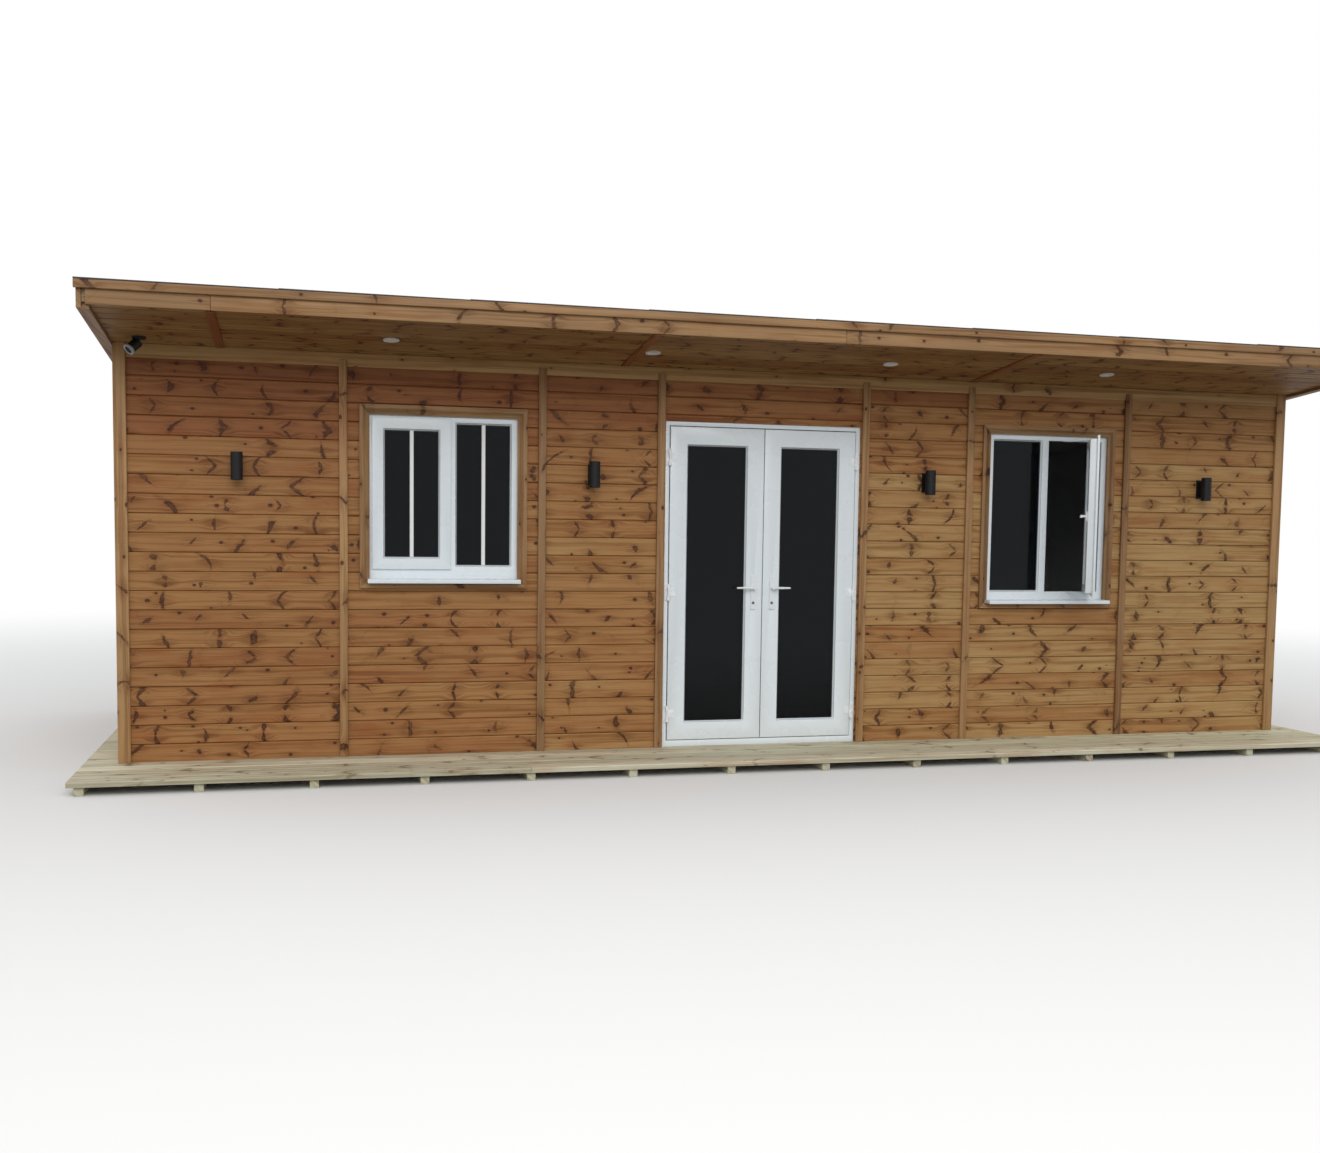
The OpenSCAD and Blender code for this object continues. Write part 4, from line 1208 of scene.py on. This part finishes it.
def felt_mesh(settings):
    """Felt sheets as one shell, a ring of four corners carried along X.

    Its foot is the plane of the roof's slope. Its top is a plane beside that one, lowered at the end of each
    sheet by a lap's height and brought back at the start of the next one, a lap's step further on.
    """
    low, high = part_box("roof_covering")
    count = max(1, round((high.x - low.x) / settings.sheet_w))
    edges = np.linspace(low.x, high.x, count + 1)
    along = np.stack([edges[:-1], edges[1:] - LAP_STEP], -1).ravel()
    along[-1] = high.x
    drop = np.tile([0.0, settings.lap], count)
    x = np.repeat(along[:, None], 4, axis=1)
    y = np.broadcast_to([low.y, high.y, high.y, low.y], x.shape)
    top_up, foot_up = high.z - roof_z(low.y), low.z - roof_z(high.y)
    up = np.stack([top_up - drop, top_up - drop, 0 * drop + foot_up, 0 * drop + foot_up], -1)
    return lofted("roof_felt_sheets", np.stack([x, y, roof_z(y) + up], -1)[None])


class POD_OT_felt_roof(bpy.types.Operator):
    """Lay the roof's felt in lapped sheets"""

    bl_idname = "pod.felt_roof"
    bl_label = "Felt the roof"

    def execute(self, context):
        settings = context.scene.roof
        add_piece(felt_mesh(settings), mineral_felt(settings), "root", ("roof_covering",))
        return {"FINISHED"}


class POD_OT_dress_frames(bpy.types.Operator):
    """Finish the white door and window frames"""

    bl_idname = "pod.dress_frames"
    bl_label = "Finish the frames"

    def execute(self, context):
        settings = context.scene.fitting
        plastic = white_plastic(settings)
        whites = (
            "door_frame", "left_door_leaf", "right_door_leaf",
            "window_frames", "window_sills", "window_sashes",
        )
        for k, node in enumerate(whites):
            dress(node, plastic, settings.arris, 700 + k)
        paint(
            white_metal(), "door_frame_hinges", "left_door_hinges", "right_door_hinges",
            "left_door_lever", "right_door_lever", "window_handles",
        )
        for side in ("left", "right"):
            paint(plate_metal(side, settings), side + "_door_plates")
        paint(brushed_steel(), "window_stays")
        paint(lamp_white(), "downlights")
        paint(black_metal(settings), "wall_lights")
        paint(camera_shell(settings), "security_camera")
        return {"FINISHED"}


def panes_of(node):
    """Each pane of a glass node as its middle, its level direction, its outward direction and half sizes.

    The level direction runs along the long side of a pane's foot. The outward direction is that one turned
    by a quarter, towards the front of the building or, for a pane that faces aside, towards its hinge side.
    """
    panes = []
    for own in solid_points(node):
        low, high = own[:, 2].min(), own[:, 2].max()
        foot = own[own[:, 2] < low + MILLIMETRE]
        apart = foot[None] - foot[:, None]
        span = np.hypot(apart[..., 0], apart[..., 1])
        thick, wide = np.sort(np.unique(np.round(span[span > MILLIMETRE], 4)))[:2]
        first, second = np.argwhere(np.abs(span - wide) < 0.1 * MILLIMETRE)[0]
        level = (foot[second] - foot[first]) / wide
        level = level if level[0] > 0 else -level
        out = np.array([level[1], -level[0], 0.0])
        middle = np.array([*foot[:, :2].mean(0), (low + high) / 2])
        panes.append((middle, level, out, wide / 2, (high - low) / 2, thick / 2))
    return panes


def seals_mesh(name, panes, settings):
    """Seals on both faces of each pane: a strip's outline carried round the pane with mitred corners.

    A point of the strip at distance a in from the pane's edge and b out of its face lies, at each corner,
    at the middle plus or minus half the width less a along the level, plus or minus half the height less a
    upwards, and half the thickness plus b outwards.
    """
    bite, width, height = settings.bite, settings.seal_w, settings.seal_t
    strip = [(bite, 0.0), (bite + width, 0.0), (bite + SEAL_TOP * width, height), (bite, height)]
    inward, outward = np.array(strip).T
    corners = np.array([(-1, -1), (1, -1), (1, 1), (-1, 1)], float)
    rings = []
    for middle, level, out, half_w, half_h, half_t in panes:
        for face in (1.0, -1.0):
            along = corners[:, 0, None] * (half_w - inward)
            up = corners[:, 1, None] * (half_h - inward)
            away = np.broadcast_to(face * (half_t + outward), along.shape)
            rings.append(middle + along[..., None] * level + up[..., None] * UP + away[..., None] * out)
    return lofted(name, np.array(rings), closed=True)


class POD_OT_glaze(bpy.types.Operator):
    """Fit the glass, its seals and the left window's bars"""

    bl_idname = "pod.glaze"
    bl_label = "Glaze the doors and windows"

    def execute(self, context):
        settings = context.scene.fitting
        rubber = rubber_seal()
        nodes = {
            "left_door_glass": "left_door_seals",
            "right_door_glass": "right_door_seals",
            "window_glass": "window_seals",
        }
        paint(clear_glass(settings), *nodes)
        for node, name in nodes.items():
            mesh = seals_mesh(name, panes_of(node), settings)
            add_piece(mesh, rubber, NODES[node]["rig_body"])
        boards, faces = [], []
        half_bar = settings.bar_w / 2
        for (x, y, z), _, out, _, half_h, half_t in panes_of("window_glass"):
            if x > 0:
                continue
            reach = half_h - settings.bite
            for face in (out[1], -out[1]):
                boards.append([z - reach, z + reach, x - half_bar, x + half_bar, False, False, 0.5, 0.5, x])
                faces.append((y + face * half_t, face))
        level, away = np.array(faces).T[:, :, None, None]
        thick, inset = settings.bar_t, 0.35 * settings.bar_t
        profile = outline([(0.0, thick, 0), (0.0, inset, 0), (inset, 0.0, 0)])

        def upright(along, across, depth):
            """Up by the distance along, across X, and off the pane by the bar's thickness less the depth."""
            return np.stack([across, level + away * (thick - depth), along], -1)

        mesh = boards_mesh("window_bars", boards, profile, upright, 9)
        add_piece(mesh, bpy.data.materials["white_plastic"], "root")
        return {"FINISHED"}


class POD_OT_finish_room(bpy.types.Operator):
    """Finish the room's floor, lining and hidden frames"""

    bl_idname = "pod.finish_room"
    bl_label = "Finish the room"

    def execute(self, context):
        paint(wall_paint(), "wall_lining", "ceiling_lining")
        shades = [(0.40, 0.27, 0.16), (0.32, 0.21, 0.12), (0.25, 0.16, 0.09)]
        laminate = timber("floor_board", shades, (0.10, 0.06, 0.03), 0.1, 0.1)
        dress("floor", laminate, 0.0, 800)
        shades = [(0.52, 0.38, 0.22), (0.46, 0.32, 0.18), (0.40, 0.27, 0.15)]
        sawn = timber("wall_frame_timber", shades, (0.16, 0.08, 0.04), 0.4, 0.3)
        hidden = (
            "front_wall_left", "front_wall_over_door", "front_wall_right",
            "left_wall", "right_wall", "back_wall", "roof_panel",
        )
        for k, node in enumerate(hidden):
            dress(node, sawn, 0.0, 810 + k)
        return {"FINISHED"}


# Stage


def camera_turn(yaw, pitch, roll):
    """Turn of a camera that looks along +Y, then turns right by yaw, up by pitch and rolls by roll."""
    aim = Vector((math.sin(yaw) * math.cos(pitch), math.cos(yaw) * math.cos(pitch), math.sin(pitch)))
    right = Vector((math.cos(yaw), -math.sin(yaw), 0.0))
    down = aim.cross(right)
    rolled_right = math.cos(roll) * right + math.sin(roll) * down
    rolled_down = math.cos(roll) * down - math.sin(roll) * right
    return Matrix((rolled_right, -rolled_down, -aim)).transposed().to_4x4()


def lay_floor(settings):
    """A wide flat square that is pale to the eye, and fades into the white backdrop away from the object."""
    corners = settings.floor_reach * np.array([(-1, -1, 0), (1, -1, 0), (1, 1, 0), (-1, 1, 0)])
    mesh = build_mesh("stage_floor", corners, [np.array([[0, 1, 2, 3]])])
    finish = Finish("stage_floor")
    seen = finish.seen_by_eye()
    glow = finish.ramp(finish.vector("LENGTH", finish.place()), settings.fade_start, settings.fade_end) * seen
    shown = finish.mix(seen, tuple(settings.bounce), tuple(settings.floor))
    mesh.materials.append(finish.set(
        Base_Color=finish.mix(glow, shown, (0.0, 0.0, 0.0)), Emission_Strength=glow,
        Emission_Color=(1.0, 1.0, 1.0), Roughness=0.9, Specular_IOR_Level=0.0,
    ))
    put("stage_floor", mesh)


def light_scene(scene, settings):
    """An even sky that looks white, and one broad soft lamp in front."""
    scene.world = bpy.data.worlds.new("studio")
    scene.world.use_nodes = True
    sky = Nodes(scene.world.node_tree)
    lit = sky.signal("ShaderNodeBackground", {"Color": tuple(settings.sky_tint), "Strength": settings.sky})
    white = sky.signal("ShaderNodeBackground", {"Color": (1.0, 1.0, 1.0)})
    sky.node("ShaderNodeOutputWorld", (sky.signal("ShaderNodeMixShader", (sky.seen_by_eye(), lit, white)),))
    lamp = bpy.data.lights.new("key_lamp", "AREA")
    lamp.shape = "RECTANGLE"
    lamp.size, lamp.size_y = settings.key_size
    lamp.energy = settings.key
    place = Vector(settings.key_place)
    turn = (Vector((0.0, FACE_Y, settings.key_aim)) - place).to_track_quat("-Z", "Y").to_matrix().to_4x4()
    put("key_lamp", lamp, Matrix.Translation(place) @ turn)


class POD_OT_set_stage(bpy.types.Operator):
    """Set up the floor, the light and the camera"""

    bl_idname = "pod.set_stage"
    bl_label = "Set the stage"

    def execute(self, context):
        scene = context.scene
        settings = scene.stage
        scene.view_settings.view_transform = "Standard"
        lay_floor(settings)
        light_scene(scene, settings)
        camera = bpy.data.cameras.new("camera")
        camera.sensor_fit = "HORIZONTAL"
        camera.sensor_width = SENSOR
        camera.lens = settings.lens
        camera.shift_x, camera.shift_y = settings.shift
        angles = [math.radians(angle) for angle in (settings.yaw, settings.pitch, settings.roll)]
        matrix = Matrix.Translation(Vector(settings.place)) @ camera_turn(*angles)
        scene.camera = put("camera", camera, matrix)
        return {"FINISHED"}


OPERATORS = (
    POD_OT_clad_walls,
    POD_OT_line_soffit,
    POD_OT_lay_decking,
    POD_OT_fix_trim,
    POD_OT_felt_roof,
    POD_OT_dress_frames,
    POD_OT_glaze,
    POD_OT_finish_room,
    POD_OT_set_stage,
)


class POD_PT_panel(bpy.types.Panel):
    """Lists the operators in the 3D view's sidebar"""

    bl_idname = "POD_PT_panel"
    bl_label = "Garden Office"
    bl_space_type = "VIEW_3D"
    bl_region_type = "UI"
    bl_category = "Garden Office"

    def draw(self, context):
        for operator in OPERATORS:
            self.layout.operator(operator.bl_idname)
        for name, group in SETTINGS.items():
            column = self.layout.column()
            for key in group.__annotations__:
                column.prop(getattr(context.scene, name), key)


def register():
    for made in (*SETTINGS.values(), *OPERATORS, POD_PT_panel):
        bpy.utils.register_class(made)
    for name, group in SETTINGS.items():
        setattr(bpy.types.Scene, name, PointerProperty(type=group))


def unregister():
    for name in SETTINGS:
        delattr(bpy.types.Scene, name)
    for made in (POD_PT_panel, *reversed(OPERATORS), *reversed(SETTINGS.values())):
        bpy.utils.unregister_class(made)


def main():
    """Makes every piece and the stage."""
    register()
    for operator in OPERATORS:
        group, name = operator.bl_idname.split(".")
        getattr(getattr(bpy.ops, group), name)()


if __name__ == "__main__":
    main()
